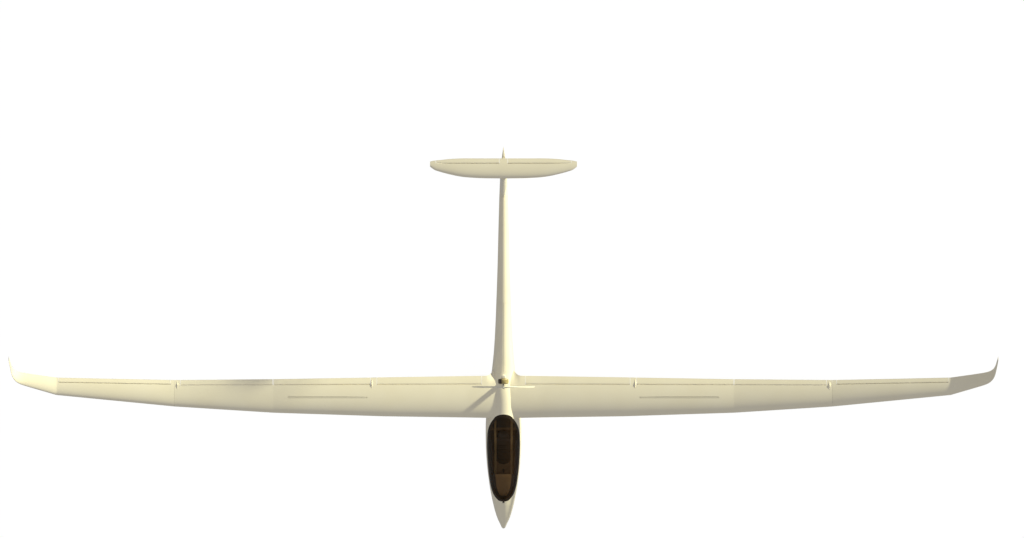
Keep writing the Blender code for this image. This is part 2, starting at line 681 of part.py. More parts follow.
def make_tailplane():
    """The tailplane on top of the fin, with an elevator at each side of the middle."""
    places = [-row[0] for row in TAILPLANE[:0:-1]] + [row[0] for row in TAILPLANE]
    rings = []
    for x in places:
        lead, hinge, trail, thickness = tail_at(x)
        rings.append(airfoil_ring((x, TAILPLANE_HEIGHT), lead, trail, thickness, camber=0.0))
    tailplane = loft("tailplane", rings, "white_gelcoat")
    for side, suffix in ((1, "left"), (-1, "right")):
        stations = []
        bay = []
        start, end = ELEVATOR_SPAN
        for x in [start, *[row[0] for row in TAILPLANE if start < row[0] < end], end]:
            lead, hinge, trail, thickness = tail_at(x)
            radius = max(thickness * airfoil_half((hinge - lead) / (trail - lead)), 0.004)
            stations.append(((side * x, hinge, TAILPLANE_HEIGHT), (0.0, trail - hinge, 0.0),
                             (0.0, 0.0, 1.0), radius))
            bay.append((x, hinge - radius - RUNNING))
        bay[0] = (bay[0][0] - SURFACE_GAP, bay[0][1])
        bay[-1] = (bay[-1][0] + SURFACE_GAP, bay[-1][1])
        cutter = [[(side * x, front, TAILPLANE_HEIGHT - 0.1), (side * x, front, TAILPLANE_HEIGHT + 0.1),
                   (side * x, front + 0.5, TAILPLANE_HEIGHT + 0.1),
                   (side * x, front + 0.5, TAILPLANE_HEIGHT - 0.1)] for x, front in bay]
        cut(tailplane, loft("bay", cutter, "white_gelcoat"))
        elevator = vane(f"elevator_{suffix}", stations, SURFACE_GAP - SEAM)
        hang(elevator, stations[0][0])
    cut(tailplane, block("under", (-0.2, 6.0, 1.4), (0.2, 7.0, TAILPLANE_SEAT)))


def turned(name, profile, centre, material, segments=32):
    """A closed (distance along x, radius) profile turned about an axle that lies along x."""
    rings = []
    for step in range(segments):
        angle = 2.0 * math.pi * step / segments
        rings.append([(centre[0] + x, centre[1] + radius * math.cos(angle),
                       centre[2] + radius * math.sin(angle)) for x, radius in profile])
    return loft(name, rings, material, closed=True)


def make_wheel(label, axle, radius, width, rim, bore):
    """A tyre on a hub that turns about a fixed axle."""
    centre = (0.0, *axle)
    half = 0.5 * width
    outer = [(out * half, rim + up * (radius - rim)) for out, up in TYRE_PROFILE]
    tread = [*outer, *[(-out, up) for out, up in outer[-2::-1]]]
    hang(turned(f"{label}_tyre", tread, centre, "tyre_rubber"), centre)
    face = [(0.70 * half, rim - SEAM), *[(out * half, up * rim) for out, up in HUB_PROFILE],
            (HUB_PROFILE[-1][0] * half, bore + SEAM)]
    disc = [*face, *[(-out, up) for out, up in face[::-1]]]
    hang(turned(f"{label}_hub", disc, centre, "cast_aluminium"), centre)


def make_main_gear():
    """The lowered main wheel: a fork from a cross tube in the well, an axle and two doors."""
    make_wheel("main_wheel", MAIN_AXLE, MAIN_RADIUS, MAIN_WIDTH, MAIN_RIM, MAIN_AXLE_RADIUS)
    axle, tube = Vector(MAIN_AXLE), Vector(GEAR_TUBE)
    reach = WELL_HALF_WIDTH - SEAM
    fork = rod("main_gear_fork", (-reach, *tube), (reach, *tube), TUBE_RADIUS)
    along = (tube - axle).normalized()
    across = Vector((-along.y, along.x))
    foot = axle - LEG_FOOT * along
    outline = [foot - LEG_FOOT * across, foot + LEG_FOOT * across,
               tube + LEG_HEAD * across, tube - LEG_HEAD * across]
    inner, outer = LEG_PLACE
    for side in (1, -1):
        x0, x1 = sorted((side * inner, side * outer))
        join(fork, prism("leg", [tuple(point) for point in outline], x0, x1))
    join(fork, rod("axle", (-outer - 0.004, *axle), (outer + 0.004, *axle), MAIN_AXLE_RADIUS))
    for side, suffix in ((1, "left"), (-1, "right")):
        rings = []
        for place in (WELL_FRONT + 0.01, WELL_BACK - 0.01):
            belly = read_off(HULL, place)[2]
            rings.append([(side * (reach + out), place, belly + up) for out, up in DOOR_PROFILE])
        loft(f"gear_door_{suffix}", rings, "white_gelcoat")


def make_tail_gear():
    """The tail wheel, half sunk in the boom, on an axle between two cheeks."""
    make_wheel("tail_wheel", TAIL_AXLE, TAIL_RADIUS, TAIL_WIDTH, TAIL_RIM, TAIL_AXLE_RADIUS)
    station, height = TAIL_AXLE
    inner, outer = CHEEK_PLACE
    fork = rod("tail_wheel_fork", (-inner - 0.003, station, height), (inner + 0.003, station, height),
               TAIL_AXLE_RADIUS)
    outline = [(station - CHEEK_HEAD, CHEEK_TOP), (station - CHEEK_FOOT, height - CHEEK_FOOT),
               (station + CHEEK_FOOT, height - CHEEK_FOOT), (station + CHEEK_HEAD, CHEEK_TOP)]
    for side in (1, -1):
        x0, x1 = sorted((side * inner, side * outer))
        join(fork, prism("cheek", outline, x0, x1))
    cut(fork, hull("body", 5.8, BOOM_END, -SEAM))


def make_cockpit():
    """Seat, headrest, instrument hood on its pedestal and the control stick."""
    inside = SHELL + SEAM
    seat = prism("seat", SEAT_PROFILE, -SEAT_HALF_WIDTH, SEAT_HALF_WIDTH, "seat_fabric")
    keep(seat, hull("room", 0.5, COCKPIT_BACK - SEAM, inside))
    headrest = rod("headrest", (-HEADREST_HALF_WIDTH, *HEADREST), (HEADREST_HALF_WIDTH, *HEADREST),
                   HEADREST_RADIUS, "dark_leather", 20)
    hollow, front, back = SEAT_PROFILE[3], SEAT_PROFILE[5], SEAT_PROFILE[6]
    cut(headrest, prism("seat_back", [(hollow[0] - SEAM, -0.2), (front[0] - SEAM, front[1] + SEAM),
                                      (back[0] + SEAM, back[1] + SEAM), (back[0] + SEAM, -0.2)], -0.3, 0.3))
    hood = prism("instrument_hood", HOOD_PROFILE, -HOOD_HALF_WIDTH, HOOD_HALF_WIDTH, "dark_leather")
    keep(hood, hull("room", 0.4, 1.2, SHELL + HOOD_CLEAR))
    pedestal = block("pedestal", (-PEDESTAL_HALF_WIDTH, PEDESTAL[0], FLOOR),
                     (PEDESTAL_HALF_WIDTH, PEDESTAL[1], 0.130), "dark_leather")
    keep(pedestal, hull("room", 0.4, 1.2, inside))
    join(hood, pedestal)
    rod("control_stick", (0.0, *STICK_FOOT), (0.0, *STICK_TOP), STICK_RADIUS, "dark_leather", 12)


def make_power():
    """The raised pylon with a motor at its top and a two-blade propeller ahead of it."""
    rings = []
    for z, station, length, width in PYLON:
        ring = []
        for step in range(16):
            angle = 2.0 * math.pi * step / 16
            ring.append((0.5 * width * math.cos(angle), station + 0.5 * length * math.sin(angle), z))
        rings.append(ring)
    pylon = loft("pylon", rings, "white_gelcoat")
    cut(pylon, hull("body", FRONT_END, 3.2, -SEAM))
    back = MOTOR_FRONT + MOTOR_LENGTH
    cut(pylon, block("seat", (-MOTOR_RADIUS, MOTOR_FRONT, MOTOR_HEIGHT - MOTOR_RADIUS - SEAM),
                     (MOTOR_RADIUS, back + SEAM, MOTOR_HEIGHT + MOTOR_RADIUS)))
    motor = rod("motor", (0.0, MOTOR_FRONT, MOTOR_HEIGHT), (0.0, back, MOTOR_HEIGHT), MOTOR_RADIUS,
                "motor_casing", 32)
    hub_front = PROPELLER_STATION - HUB_RADIUS
    hub_back = PROPELLER_STATION + HUB_BACK
    join(motor, rod("shaft", (0.0, hub_back + SEAM, MOTOR_HEIGHT), (0.0, MOTOR_FRONT + 0.02, MOTOR_HEIGHT),
                    SHAFT_RADIUS))
    hub = rod("propeller", (0.0, hub_front, MOTOR_HEIGHT), (0.0, hub_back, MOTOR_HEIGHT), HUB_RADIUS,
              "white_blade", 20)
    for turn in (PROPELLER_REST, PROPELLER_REST + math.pi):
        out = Vector((math.cos(turn), 0.0, math.sin(turn)))
        side = Vector((-math.sin(turn), 0.0, math.cos(turn)))
        rings = []
        for radius, chord, pitch, thickness, sweep in BLADE:
            angle = math.radians(pitch)
            along = math.cos(angle) * side - math.sin(angle) * Vector((0.0, 1.0, 0.0))
            across = math.sin(angle) * side + math.cos(angle) * Vector((0.0, 1.0, 0.0))
            centre = Vector((0.0, PROPELLER_STATION, MOTOR_HEIGHT)) + radius * out + sweep * side
            ring = []
            for step in range(10):
                around = 2.0 * math.pi * step / 10
                ring.append(centre + 0.5 * chord * math.cos(around) * along
                            + 0.5 * thickness * math.sin(around) * across)
            rings.append(ring)
        join(hub, loft("blade", rings, "white_blade"))
    hang(hub, (0.0, PROPELLER_STATION, MOTOR_HEIGHT))


def lowest(name, turn):
    """The lowest point of a piece once the aircraft is turned."""
    made = bpy.data.objects[name]
    points = [turn @ (made.location + vertex.co) for vertex in made.data.vertices]
    return min(points, key=lambda point: point.z)


def settle():
    """Leans the aircraft until both tyres and the left tip skid touch one level, and stands it there."""
    pitch, roll = math.radians(-7.0), math.radians(10.0)
    for _ in range(30):
        turn = Matrix.Rotation(roll, 4, "Y") @ Matrix.Rotation(pitch, 4, "X")
        wheel = lowest("main_wheel_tyre", turn)
        tail = lowest("tail_wheel_tyre", turn)
        tip = lowest("wing_outer_left", turn)
        pitch -= (tail.z - wheel.z) / (tail.y - wheel.y)
        roll += (tip.z - wheel.z) / (tip.x - wheel.x)
    turn = Matrix.Rotation(roll, 4, "Y") @ Matrix.Rotation(pitch, 4, "X")
    points = [turn @ (made.location + vertex.co) for made in bpy.data.objects if made.type == "MESH"
              for vertex in made.data.vertices]
    low = Vector([min(point[axis] for point in points) for axis in range(3)])
    high = Vector([max(point[axis] for point in points) for axis in range(3)])
    middle = 0.5 * (low + high)
    parked.matrix_world = Matrix.Translation((-middle.x, -middle.y, -low.z)) @ turn


def main():
    make_front_fuselage()
    make_canopy()
    make_boom()
    for side, suffix in ((1, "left"), (-1, "right")):
        make_wing(side, suffix)
    make_fin()
    make_tailplane()
    make_main_gear()
    make_tail_gear()
    make_cockpit()
    make_power()
    settle()


main()
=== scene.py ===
# %% [markdown]
# A single-seat sailplane with a raised motor pylon, parked on its wheels and its left wing tip.
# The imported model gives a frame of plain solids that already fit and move. This script dresses
# that frame: smooth moulded skins, a tinted canopy over a furnished cockpit, tyres, a motor and
# a propeller. Most of a sailplane is one moulded surface that flows from part to part, so most
# pieces here are surfaces worked out as whole numpy arrays: a grid of points from two
# parameters, such as the station along the fuselage and the angle round it.

# %% Load the frame
import json
import math

import bmesh
import bpy
import numpy as np
from mathutils import Matrix, Vector


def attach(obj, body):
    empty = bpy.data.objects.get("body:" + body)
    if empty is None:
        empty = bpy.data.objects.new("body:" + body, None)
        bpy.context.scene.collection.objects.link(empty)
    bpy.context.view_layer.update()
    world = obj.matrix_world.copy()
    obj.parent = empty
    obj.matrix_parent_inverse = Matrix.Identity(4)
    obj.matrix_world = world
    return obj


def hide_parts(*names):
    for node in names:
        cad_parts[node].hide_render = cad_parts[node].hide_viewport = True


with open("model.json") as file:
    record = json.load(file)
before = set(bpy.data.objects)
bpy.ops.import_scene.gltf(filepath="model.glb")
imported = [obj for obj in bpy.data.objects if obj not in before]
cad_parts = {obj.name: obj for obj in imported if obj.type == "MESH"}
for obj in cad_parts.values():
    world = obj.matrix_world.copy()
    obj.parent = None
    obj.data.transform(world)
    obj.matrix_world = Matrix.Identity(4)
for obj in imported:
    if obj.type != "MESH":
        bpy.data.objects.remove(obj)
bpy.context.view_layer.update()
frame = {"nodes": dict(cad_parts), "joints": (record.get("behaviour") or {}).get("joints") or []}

# %% [markdown]
# The aircraft leans, because one main wheel can't hold it level. Its shape is still easiest to
# describe level: x to its left, y aft from the nose, z up. Three joints show how it leans. The
# main wheel spins about x, the propeller about y, and an airbrake slides along z, so their axes
# are the three columns of the turn, and the wheel's place gives the shift.

# %% Aircraft coordinates
joints = {joint["name"]: joint for joint in frame["joints"]}
TURN = np.array([joints[name]["axis"] for name in
                 ("main_wheel_spin", "propeller_spin", "airbrake_left_slide")]).T
MAIN_AXLE = np.array([0.0, 2.060, -0.262])
SHIFT = np.array(joints["main_wheel_spin"]["pos_m"]) - TURN @ MAIN_AXLE


def to_world(points):
    """Aircraft coordinates to the frame's: turned, then shifted."""
    return np.asarray(points, float) @ TURN.T + SHIFT


def to_aircraft(points):
    """The frame's coordinates back to aircraft coordinates."""
    return (np.asarray(points, float) - SHIFT) @ TURN


tail_axle = to_aircraft(joints["tail_wheel_spin"]["pos_m"])
propeller_centre = to_aircraft(joints["propeller_spin"]["pos_m"])
print("lean about the fuselage, degrees:", round(math.degrees(math.asin(TURN[2, 0])), 2))
print("propeller's centre in aircraft coordinates:", np.round(propeller_centre, 3))

# %% [markdown]
# The photograph is drawn without perspective, so the camera is orthographic. It looks straight
# down on the aircraft, along its own z, with the tail at the top of the picture. One pixel of
# the photograph is 18.18 mm, which sets the width of the view, and the tip of the nose lies at
# a known pixel, which sets its middle.

# %% Camera
PIXEL = 18.0 / 990.0
IMAGE = (1024, 538)
NOSE_PIXEL = (503.5, 528.5)
CAMERA_HEIGHT = 25.0

middle = np.array([(0.5 * IMAGE[0] - NOSE_PIXEL[0]) * PIXEL, (NOSE_PIXEL[1] - 0.5 * IMAGE[1]) * PIXEL,
                   CAMERA_HEIGHT])
camera_data = bpy.data.cameras.new("camera")
camera_data.type = "ORTHO"
camera_data.ortho_scale = IMAGE[0] * PIXEL
camera_data.clip_end = 200.0
camera = bpy.data.objects.new("camera", camera_data)
camera.matrix_world = Matrix.Translation(to_world(middle)) @ Matrix(TURN).to_4x4()
bpy.context.scene.collection.objects.link(camera)
bpy.context.scene.camera = camera
bpy.context.scene.view_settings.view_transform = "Standard"
print("view width in metres:", round(camera_data.ortho_scale, 3))

# %% [markdown]
# Light. The shading in the photograph comes from one main light, low on the right and a little
# from the tail: it grazes the wings only 8 degrees above their plane. That is why each small
# change of slope shows as a change of tone. An even white sky fills the shade to about 40
# percent. Both were measured on the photograph.
#
# The parked aircraft leans by more than those 8 degrees, so for its floor this light is just
# below the horizon. The floor therefore casts no shadow, and no shadow falls on it: it stays the
# even white of the photograph, and shines softly up at the belly as a white floor does.

# %% Light and floor
SUN_DIRECTION = np.array([0.759, 0.637, 0.139])
SUN_STRENGTH = 6.2
SUN_COLOUR = (1.0, 0.98, 0.68)
SUN_WIDTH = math.radians(3.0)
SKY_STRENGTH = 0.41

sun_data = bpy.data.lights.new("key_light", "SUN")
sun_data.energy = SUN_STRENGTH
sun_data.color = SUN_COLOUR
sun_data.angle = SUN_WIDTH
sun = bpy.data.objects.new("key_light", sun_data)
sun.rotation_mode = "QUATERNION"
sun.rotation_quaternion = Vector(TURN @ SUN_DIRECTION).to_track_quat("Z", "Y")
bpy.context.scene.collection.objects.link(sun)


def hex_colour(text):
    """An sRGB hex value as linear red, green, blue and alpha."""
    shares = np.array([int(text[start:start + 2], 16) for start in (1, 3, 5)]) / 255.0
    linear = np.where(shares <= 0.04045, shares / 12.92, ((shares + 0.055) / 1.055) ** 2.4)
    return (*[float(value) for value in linear], 1.0)


def add(tree, kind, inputs=(), **settings):
    """Adds a node. An input is a value, or another node's output, which is linked."""
    made = tree.nodes.new(kind)
    for name, value in settings.items():
        setattr(made, name, value)
    for socket, value in dict(inputs).items():
        if isinstance(value, bpy.types.NodeSocket):
            tree.links.new(value, made.inputs[socket])
        else:
            made.inputs[socket].default_value = value
    return made


def shining(tree, kind, lighting, seen):
    """A white glow: one strength for the light it gives, another for what the camera sees of it."""
    rays = add(tree, "ShaderNodeLightPath")
    strength = add(tree, "ShaderNodeMapRange", {"Value": rays.outputs["Is Camera Ray"],
                                                "To Min": lighting, "To Max": seen})
    white = add(tree, kind, {"Color": (1.0, 1.0, 1.0, 1.0), "Strength": strength.outputs["Result"]})
    return white.outputs[0]


world = bpy.data.worlds.new("studio")
world.use_nodes = True
bpy.context.scene.world = world
sky = world.node_tree
sky.nodes.clear()
add(sky, "ShaderNodeOutputWorld", {"Surface": shining(sky, "ShaderNodeBackground", SKY_STRENGTH, 1.0)})

FLOOR_SIZE = 120.0
FLOOR_TONE = 0.20
FLOOR_GLOW = (0.26, 0.93)  # what it lights with, what the camera sees
floor_material = bpy.data.materials.new("studio_floor")
floor_material.use_nodes = True
tree = floor_material.node_tree
tree.nodes.clear()
paint = add(tree, "ShaderNodeBsdfDiffuse", {"Color": (FLOOR_TONE, FLOOR_TONE, FLOOR_TONE, 1.0)})
both = add(tree, "ShaderNodeAddShader", {0: paint.outputs[0],
                                         1: shining(tree, "ShaderNodeEmission", *FLOOR_GLOW)})
add(tree, "ShaderNodeOutputMaterial", {"Surface": both.outputs[0]})

floor_mesh = bpy.data.meshes.new("floor")
reach = 0.5 * FLOOR_SIZE
floor_mesh.from_pydata([(-reach, -reach, 0), (reach, -reach, 0), (reach, reach, 0), (-reach, reach, 0)],
                       [], [(0, 1, 2, 3)])
floor_mesh.materials.append(floor_material)
floor = bpy.data.objects.new("floor", floor_mesh)
floor.visible_shadow = False
bpy.context.scene.collection.objects.link(floor)
print("light above the wings, degrees:",
      round(math.degrees(math.asin(SUN_DIRECTION[2] / np.linalg.norm(SUN_DIRECTION))), 1))

# %% [markdown]
# Helpers for surfaces. A surface is a grid of points, worked out as whole arrays. Its outlines
# come from two kinds of curve: a superellipse, which its power makes round or nearly square, and
# a smooth curve through the rows of a table, which passes through each row exactly.

# %% Surface helpers
HAIR = 0.0005  # gap between pieces that nearly touch
SIDES = ((1.0, "left"), (-1.0, "right"))
MIRROR = np.array([-1.0, 1.0, 1.0])


def full_turn(count):
    """Evenly spaced angles once round."""
    return np.linspace(0.0, 2.0 * np.pi, count, endpoint=False)


def rounded(angle, power, power_up=None):
    """Superellipse: the cosine and the sine of the angles, each to a power and with its own sign."""
    across, up = np.cos(angle), np.sin(angle)
    return (np.sign(across) * np.abs(across) ** power,
            np.sign(up) * np.abs(up) ** (power if power_up is None else power_up))


def grid_of(x, y, z):
    """Points from three arrays of coordinates, spread to one shape."""
    return np.stack(np.broadcast_arrays(x, y, z), axis=-1)


def smooth_curve(known, values, places):
    """Cubic Hermite curve: its slope at a known place is the weighted mean of the slopes beside it."""
    known, values = np.asarray(known, float), np.asarray(values, float)
    gaps = np.diff(known)
    rises = np.diff(values) / gaps
    slopes = np.concatenate([rises[:1], (rises[:-1] * gaps[1:] + rises[1:] * gaps[:-1])
                             / (gaps[1:] + gaps[:-1]), rises[-1:]])
    cell = np.clip(np.searchsorted(known, places, side="right") - 1, 0, len(gaps) - 1)
    t = (places - known[cell]) / gaps[cell]
    return ((1 + 2 * t) * (1 - t) ** 2 * values[cell] + t * (1 - t) ** 2 * gaps[cell] * slopes[cell]
            + t ** 2 * (3 - 2 * t) * values[cell + 1] + t ** 2 * (t - 1) * gaps[cell] * slopes[cell + 1])


def smooth_columns(table, places):
    """Every column but the first, as a smooth curve over the first."""
    return [smooth_curve(table[:, 0], column, places) for column in table[:, 1:].T]


def straight_columns(table, places):
    """Every column but the first, in straight lines over the first."""
    return [np.interp(places, table[:, 0], column) for column in table[:, 1:].T]


print("smooth curve through the squares 0, 1, 4 and 9, halfway from 1 to 2:",
      smooth_curve((0, 1, 2, 3), (0, 1, 4, 9), np.array([1.5])))

# %% [markdown]
# From grids to meshes. A grid's faces join neighbours, so they follow from its rows and columns. A
# closed section is a ring: its last point joins its first. Grids may have whole patches left
# out, as for a wheel well. Points that fall together, as at the tip of the nose, are merged,
# and closed shapes have their faces turned outwards. Blender could also do this step by step in
# edit mode, but one function for every piece keeps them all alike.

# %% Mesh helpers
MERGE = 1e-6
CRISP_ANGLE = math.radians(38.0)


def mesh_of(name, points, faces):
    """A mesh from points in aircraft coordinates and faces as rows of point numbers."""
    mesh = bpy.data.meshes.new(name)
    mesh.from_pydata(to_world(points.reshape(-1, 3)).tolist(), [], faces.reshape(-1, 4).tolist())
    return mesh


def link(name, mesh, material, body, turned_in):
    """Merges doubles, turns the faces outwards if the shape is closed, and puts it on its body."""
    shape = bmesh.new()
    shape.from_mesh(mesh)
    bmesh.ops.remove_doubles(shape, verts=shape.verts, dist=MERGE)
    bmesh.ops.dissolve_degenerate(shape, edges=shape.edges, dist=MERGE)
    if turned_in:
        bmesh.ops.recalc_face_normals(shape, faces=shape.faces)
    shape.to_mesh(mesh)
    shape.free()
    mesh.materials.append(material)
    mesh.shade_smooth()
    mesh.set_sharp_from_angle(angle=CRISP_ANGLE)
    made = bpy.data.objects.new(name, mesh)
    bpy.context.scene.collection.objects.link(made)
    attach(made, body)
    return made


def sheet(name, grid, material, body, ring=False, caps=False, loop=False, left_out=None, uv=None):
    """A mesh over a (rows, columns, 3) grid in aircraft coordinates.

    ring joins the last column to the first, loop the last row to the first, and caps closes both
    ends. left_out masks faces, and uv gives each point a pair of pattern coordinates.
    """
    rows, columns = grid.shape[:2]
    r, c = (number.ravel() for number in np.indices((rows - (not loop), columns - (not ring))))
    next_r, next_c = (r + 1) % rows, (c + 1) % columns
    faces = np.stack([r * columns + c, r * columns + next_c, next_r * columns + next_c,
                      next_r * columns + c], axis=1)
    if left_out is not None:
        faces = faces[~left_out[r, c]]
    faces = faces.tolist()
    if caps:
        faces.append(list(range(columns)))
        faces.append(list(range((rows - 1) * columns, rows * columns)))
    mesh = bpy.data.meshes.new(name)
    mesh.from_pydata(to_world(grid.reshape(-1, 3)).tolist(), [], faces)
    if uv is not None:
        layer = mesh.uv_layers.new(name="pattern")
        corners = np.empty(len(mesh.loops), np.int32)
        mesh.loops.foreach_get("vertex_index", corners)
        layer.data.foreach_set("uv", uv.reshape(-1, 2)[corners].astype(np.float32).ravel())
    return link(name, mesh, material, body, turned_in=(ring and (caps or loop)))


def closed(name, grid, material, body, left_out=None):
    """A tube of ring sections with both its ends capped."""
    return sheet(name, grid, material, body, ring=True, caps=True, left_out=left_out)


def turned(name, profile, centre, axis, material, body, segments=96):
    """A closed profile of (distance along the axis, radius) points, turned about the axis."""
    profile = np.asarray(profile, float)
    angle = full_turn(segments)
    along, across, beside = np.eye(3)[{"x": [0, 1, 2], "y": [1, 0, 2], "z": [2, 0, 1]}[axis]]
    spoke = np.cos(angle)[:, None] * across + np.sin(angle)[:, None] * beside
    grid = np.asarray(centre) + profile[:, :1] * along + profile[:, 1:] * spoke[:, None, :]
    return sheet(name, grid, material, body, ring=True, loop=True)


def thicken(made, thickness, offset=-1.0):
    """Gives an open sheet a wall, as its inner side. The sheet's own border stays a crisp edge."""
    mesh = made.data
    corners = np.empty(len(mesh.loops), np.int32)
    mesh.loops.foreach_get("edge_index", corners)
    crisp = np.empty(len(mesh.edges), bool)
    mesh.edges.foreach_get("use_edge_sharp", crisp)
    mesh.edges.foreach_set("use_edge_sharp", crisp | (np.bincount(corners, minlength=len(crisp)) == 1))
    wall = made.modifiers.new("wall", "SOLIDIFY")
    wall.thickness = thickness
    wall.offset = offset
    return made


def read_points(made):
    """A piece's points as an array."""
    points = np.empty(len(made.data.vertices) * 3)
    made.data.vertices.foreach_get("co", points)
    return points.reshape(-1, 3)


def write_points(made, points):
    """Moves a piece's points to new places."""
    made.data.vertices.foreach_set("co", points.astype(np.float32).ravel())
    made.data.update()


def apply_all(made):
    """Puts what the modifiers show into the mesh."""
    evaluated = made.evaluated_get(bpy.context.evaluated_depsgraph_get())
    mesh = bpy.data.meshes.new_from_object(evaluated)
    made.modifiers.clear()
    made.data = mesh
    mesh.shade_smooth()


print("edges stay sharp above, degrees:", round(math.degrees(CRISP_ANGLE)))

# %% [markdown]
# Materials. The airframe is fibre composite from a polished mould, so its skin is polyester
# gelcoat: a warm white, glossy, with the faint waviness of a sanded and buffed surface. The
# other finishes are few: tinted acrylic, leather, vinyl and woven cloth in the cockpit, rubber,
# cast and painted metal, a tan motor case and white lacquered blades.

# %% Materials
def start(name, **values):
    """A new material, its nodes, its shader and the place on it. Values name sockets, _ for spaces."""
    made = bpy.data.materials.new(name)
    made.use_nodes = True
    shader = made.node_tree.nodes["Principled BSDF"]
    for socket, value in values.items():
        shader.inputs[socket.replace("_", " ")].default_value = value
    place = add(made.node_tree, "ShaderNodeTexCoord").outputs["Object"]
    return made, made.node_tree, shader, place


def gelcoat(name, stripe=None):
    """Polished polyester gelcoat: clear gloss over warm white, with slow drifts of tone."""
    made, tree, shader, place = start(name, Roughness=0.30, IOR=1.50, Coat_Weight=0.25,
                                      Coat_Roughness=0.08)
    # tone and gloss drift over about half a metre, as from sanding and repairs
    drift = add(tree, "ShaderNodeTexNoise", {"Vector": place, "Scale": 2.0, "Detail": 3.0}).outputs["Fac"]
    tone = add(tree, "ShaderNodeMix", {"Factor": drift, "A": hex_colour("#F7F0DC"),
                                       "B": hex_colour("#F0E7CE")}, data_type="RGBA")
    colour = tone.outputs["Result"]
    if stripe is not None:
        colour = stripe(tree, colour)
    tree.links.new(colour, shader.inputs["Base Color"])
    gloss = add(tree, "ShaderNodeMapRange", {"Value": drift, "To Min": 0.24, "To Max": 0.36})
    tree.links.new(gloss.outputs["Result"], shader.inputs["Roughness"])
    # waviness of a buffed mould surface, about 30 mm from crest to crest
    wave = add(tree, "ShaderNodeTexNoise", {"Vector": place, "Scale": 33.0, "Detail": 2.0})
    bump = add(tree, "ShaderNodeBump", {"Height": wave.outputs["Fac"], "Strength": 0.15,
                                        "Distance": 0.001})
    tree.links.new(bump.outputs["Normal"], shader.inputs["Normal"])
    return made


STRIPE = ((0.96, 0.118), (1.63, 0.173))  # station and height of its ends
STRIPE_WIDTH = 0.030
STRIPE_BREAK = (1.20, 1.44)


def side_stripe(tree, base):
    """A pale red line along the fuselage side, broken in the middle, from the (station, height) map."""
    uv = add(tree, "ShaderNodeUVMap", uv_map="pattern").outputs["UV"]
    axes = add(tree, "ShaderNodeSeparateXYZ", {"Vector": uv}).outputs
    (start_station, start_height), (end_station, end_height) = STRIPE
    slope = (end_height - start_height) / (end_station - start_station)
    line = add(tree, "ShaderNodeMath", {0: axes["X"], 1: slope, 2: start_height - slope * start_station},
               operation="MULTIPLY_ADD")
    near = add(tree, "ShaderNodeMath", {0: axes["Y"], 1: line.outputs[0], 2: 0.5 * STRIPE_WIDTH},
               operation="COMPARE")
    mask = near.outputs[0]
    for low, high, outside in ((start_station, end_station, False), (*STRIPE_BREAK, True)):
        half = 0.5 * (high - low)
        inside = add(tree, "ShaderNodeMath", {0: axes["X"], 1: low + half, 2: half}, operation="COMPARE")
        keep = inside.outputs[0]
        if outside:
            keep = add(tree, "ShaderNodeMath", {0: 1.0, 1: keep}, operation="SUBTRACT").outputs[0]
        mask = add(tree, "ShaderNodeMath", {0: mask, 1: keep}, operation="MULTIPLY").outputs[0]
    painted_line = add(tree, "ShaderNodeMix", {"Factor": mask, "A": base, "B": hex_colour("#E8A690")},
                       data_type="RGBA")
    return painted_line.outputs["Result"]


print("stripe's length, m:", round(math.dist(*STRIPE), 3))

# %% [markdown]
# The other finishes, one function for each way that a surface is made: blown acrylic, grained
# leather or rubber, woven cloth, cast or brushed metal, and sprayed paint. Each takes its colours
# and the real size of its pattern, in metres, so that one function serves several pieces.

# %% Finishes
def acrylic():
    """Brown tinted acrylic, blown in one piece: clear enough to show the cockpit, with a hard gloss."""
    made, tree, shader, place = start("blown_brown_acrylic", Roughness=0.06, IOR=1.49, Alpha=0.24,
                                      Specular_Tint=hex_colour("#FFE2B8"), Coat_Weight=0.05,
                                      Coat_Roughness=0.03)
    # the tint is deeper where the sheet was stretched less
    drift = add(tree, "ShaderNodeTexNoise", {"Vector": place, "Scale": 3.0, "Detail": 1.0})
    tint = add(tree, "ShaderNodeMix", {"Factor": drift.outputs["Fac"], "A": hex_colour("#33210F"),
                                       "B": hex_colour("#221508")}, data_type="RGBA")
    tree.links.new(tint.outputs["Result"], shader.inputs["Base Color"])
    return made


def grained(name, pale, deep, grain, roughness):
    """Leather or moulded rubber: cells of a size in metres, with the colour deeper between them."""
    made, tree, shader, place = start(name, Roughness=roughness)
    cells = add(tree, "ShaderNodeTexVoronoi", {"Vector": place, "Scale": 1.0 / grain,
                                               "Randomness": 0.9}).outputs["Distance"]
    worn = add(tree, "ShaderNodeTexNoise", {"Vector": place, "Scale": 9.0, "Detail": 3.0})
    mixed = add(tree, "ShaderNodeMath", {0: cells, 1: worn.outputs["Fac"]}, operation="MULTIPLY")
    tone = add(tree, "ShaderNodeMix", {"Factor": mixed.outputs[0], "A": hex_colour(deep),
                                       "B": hex_colour(pale)}, data_type="RGBA")
    tree.links.new(tone.outputs["Result"], shader.inputs["Base Color"])
    bump = add(tree, "ShaderNodeBump", {"Height": cells, "Strength": 0.5, "Distance": 0.0006})
    tree.links.new(bump.outputs["Normal"], shader.inputs["Normal"])
    return made


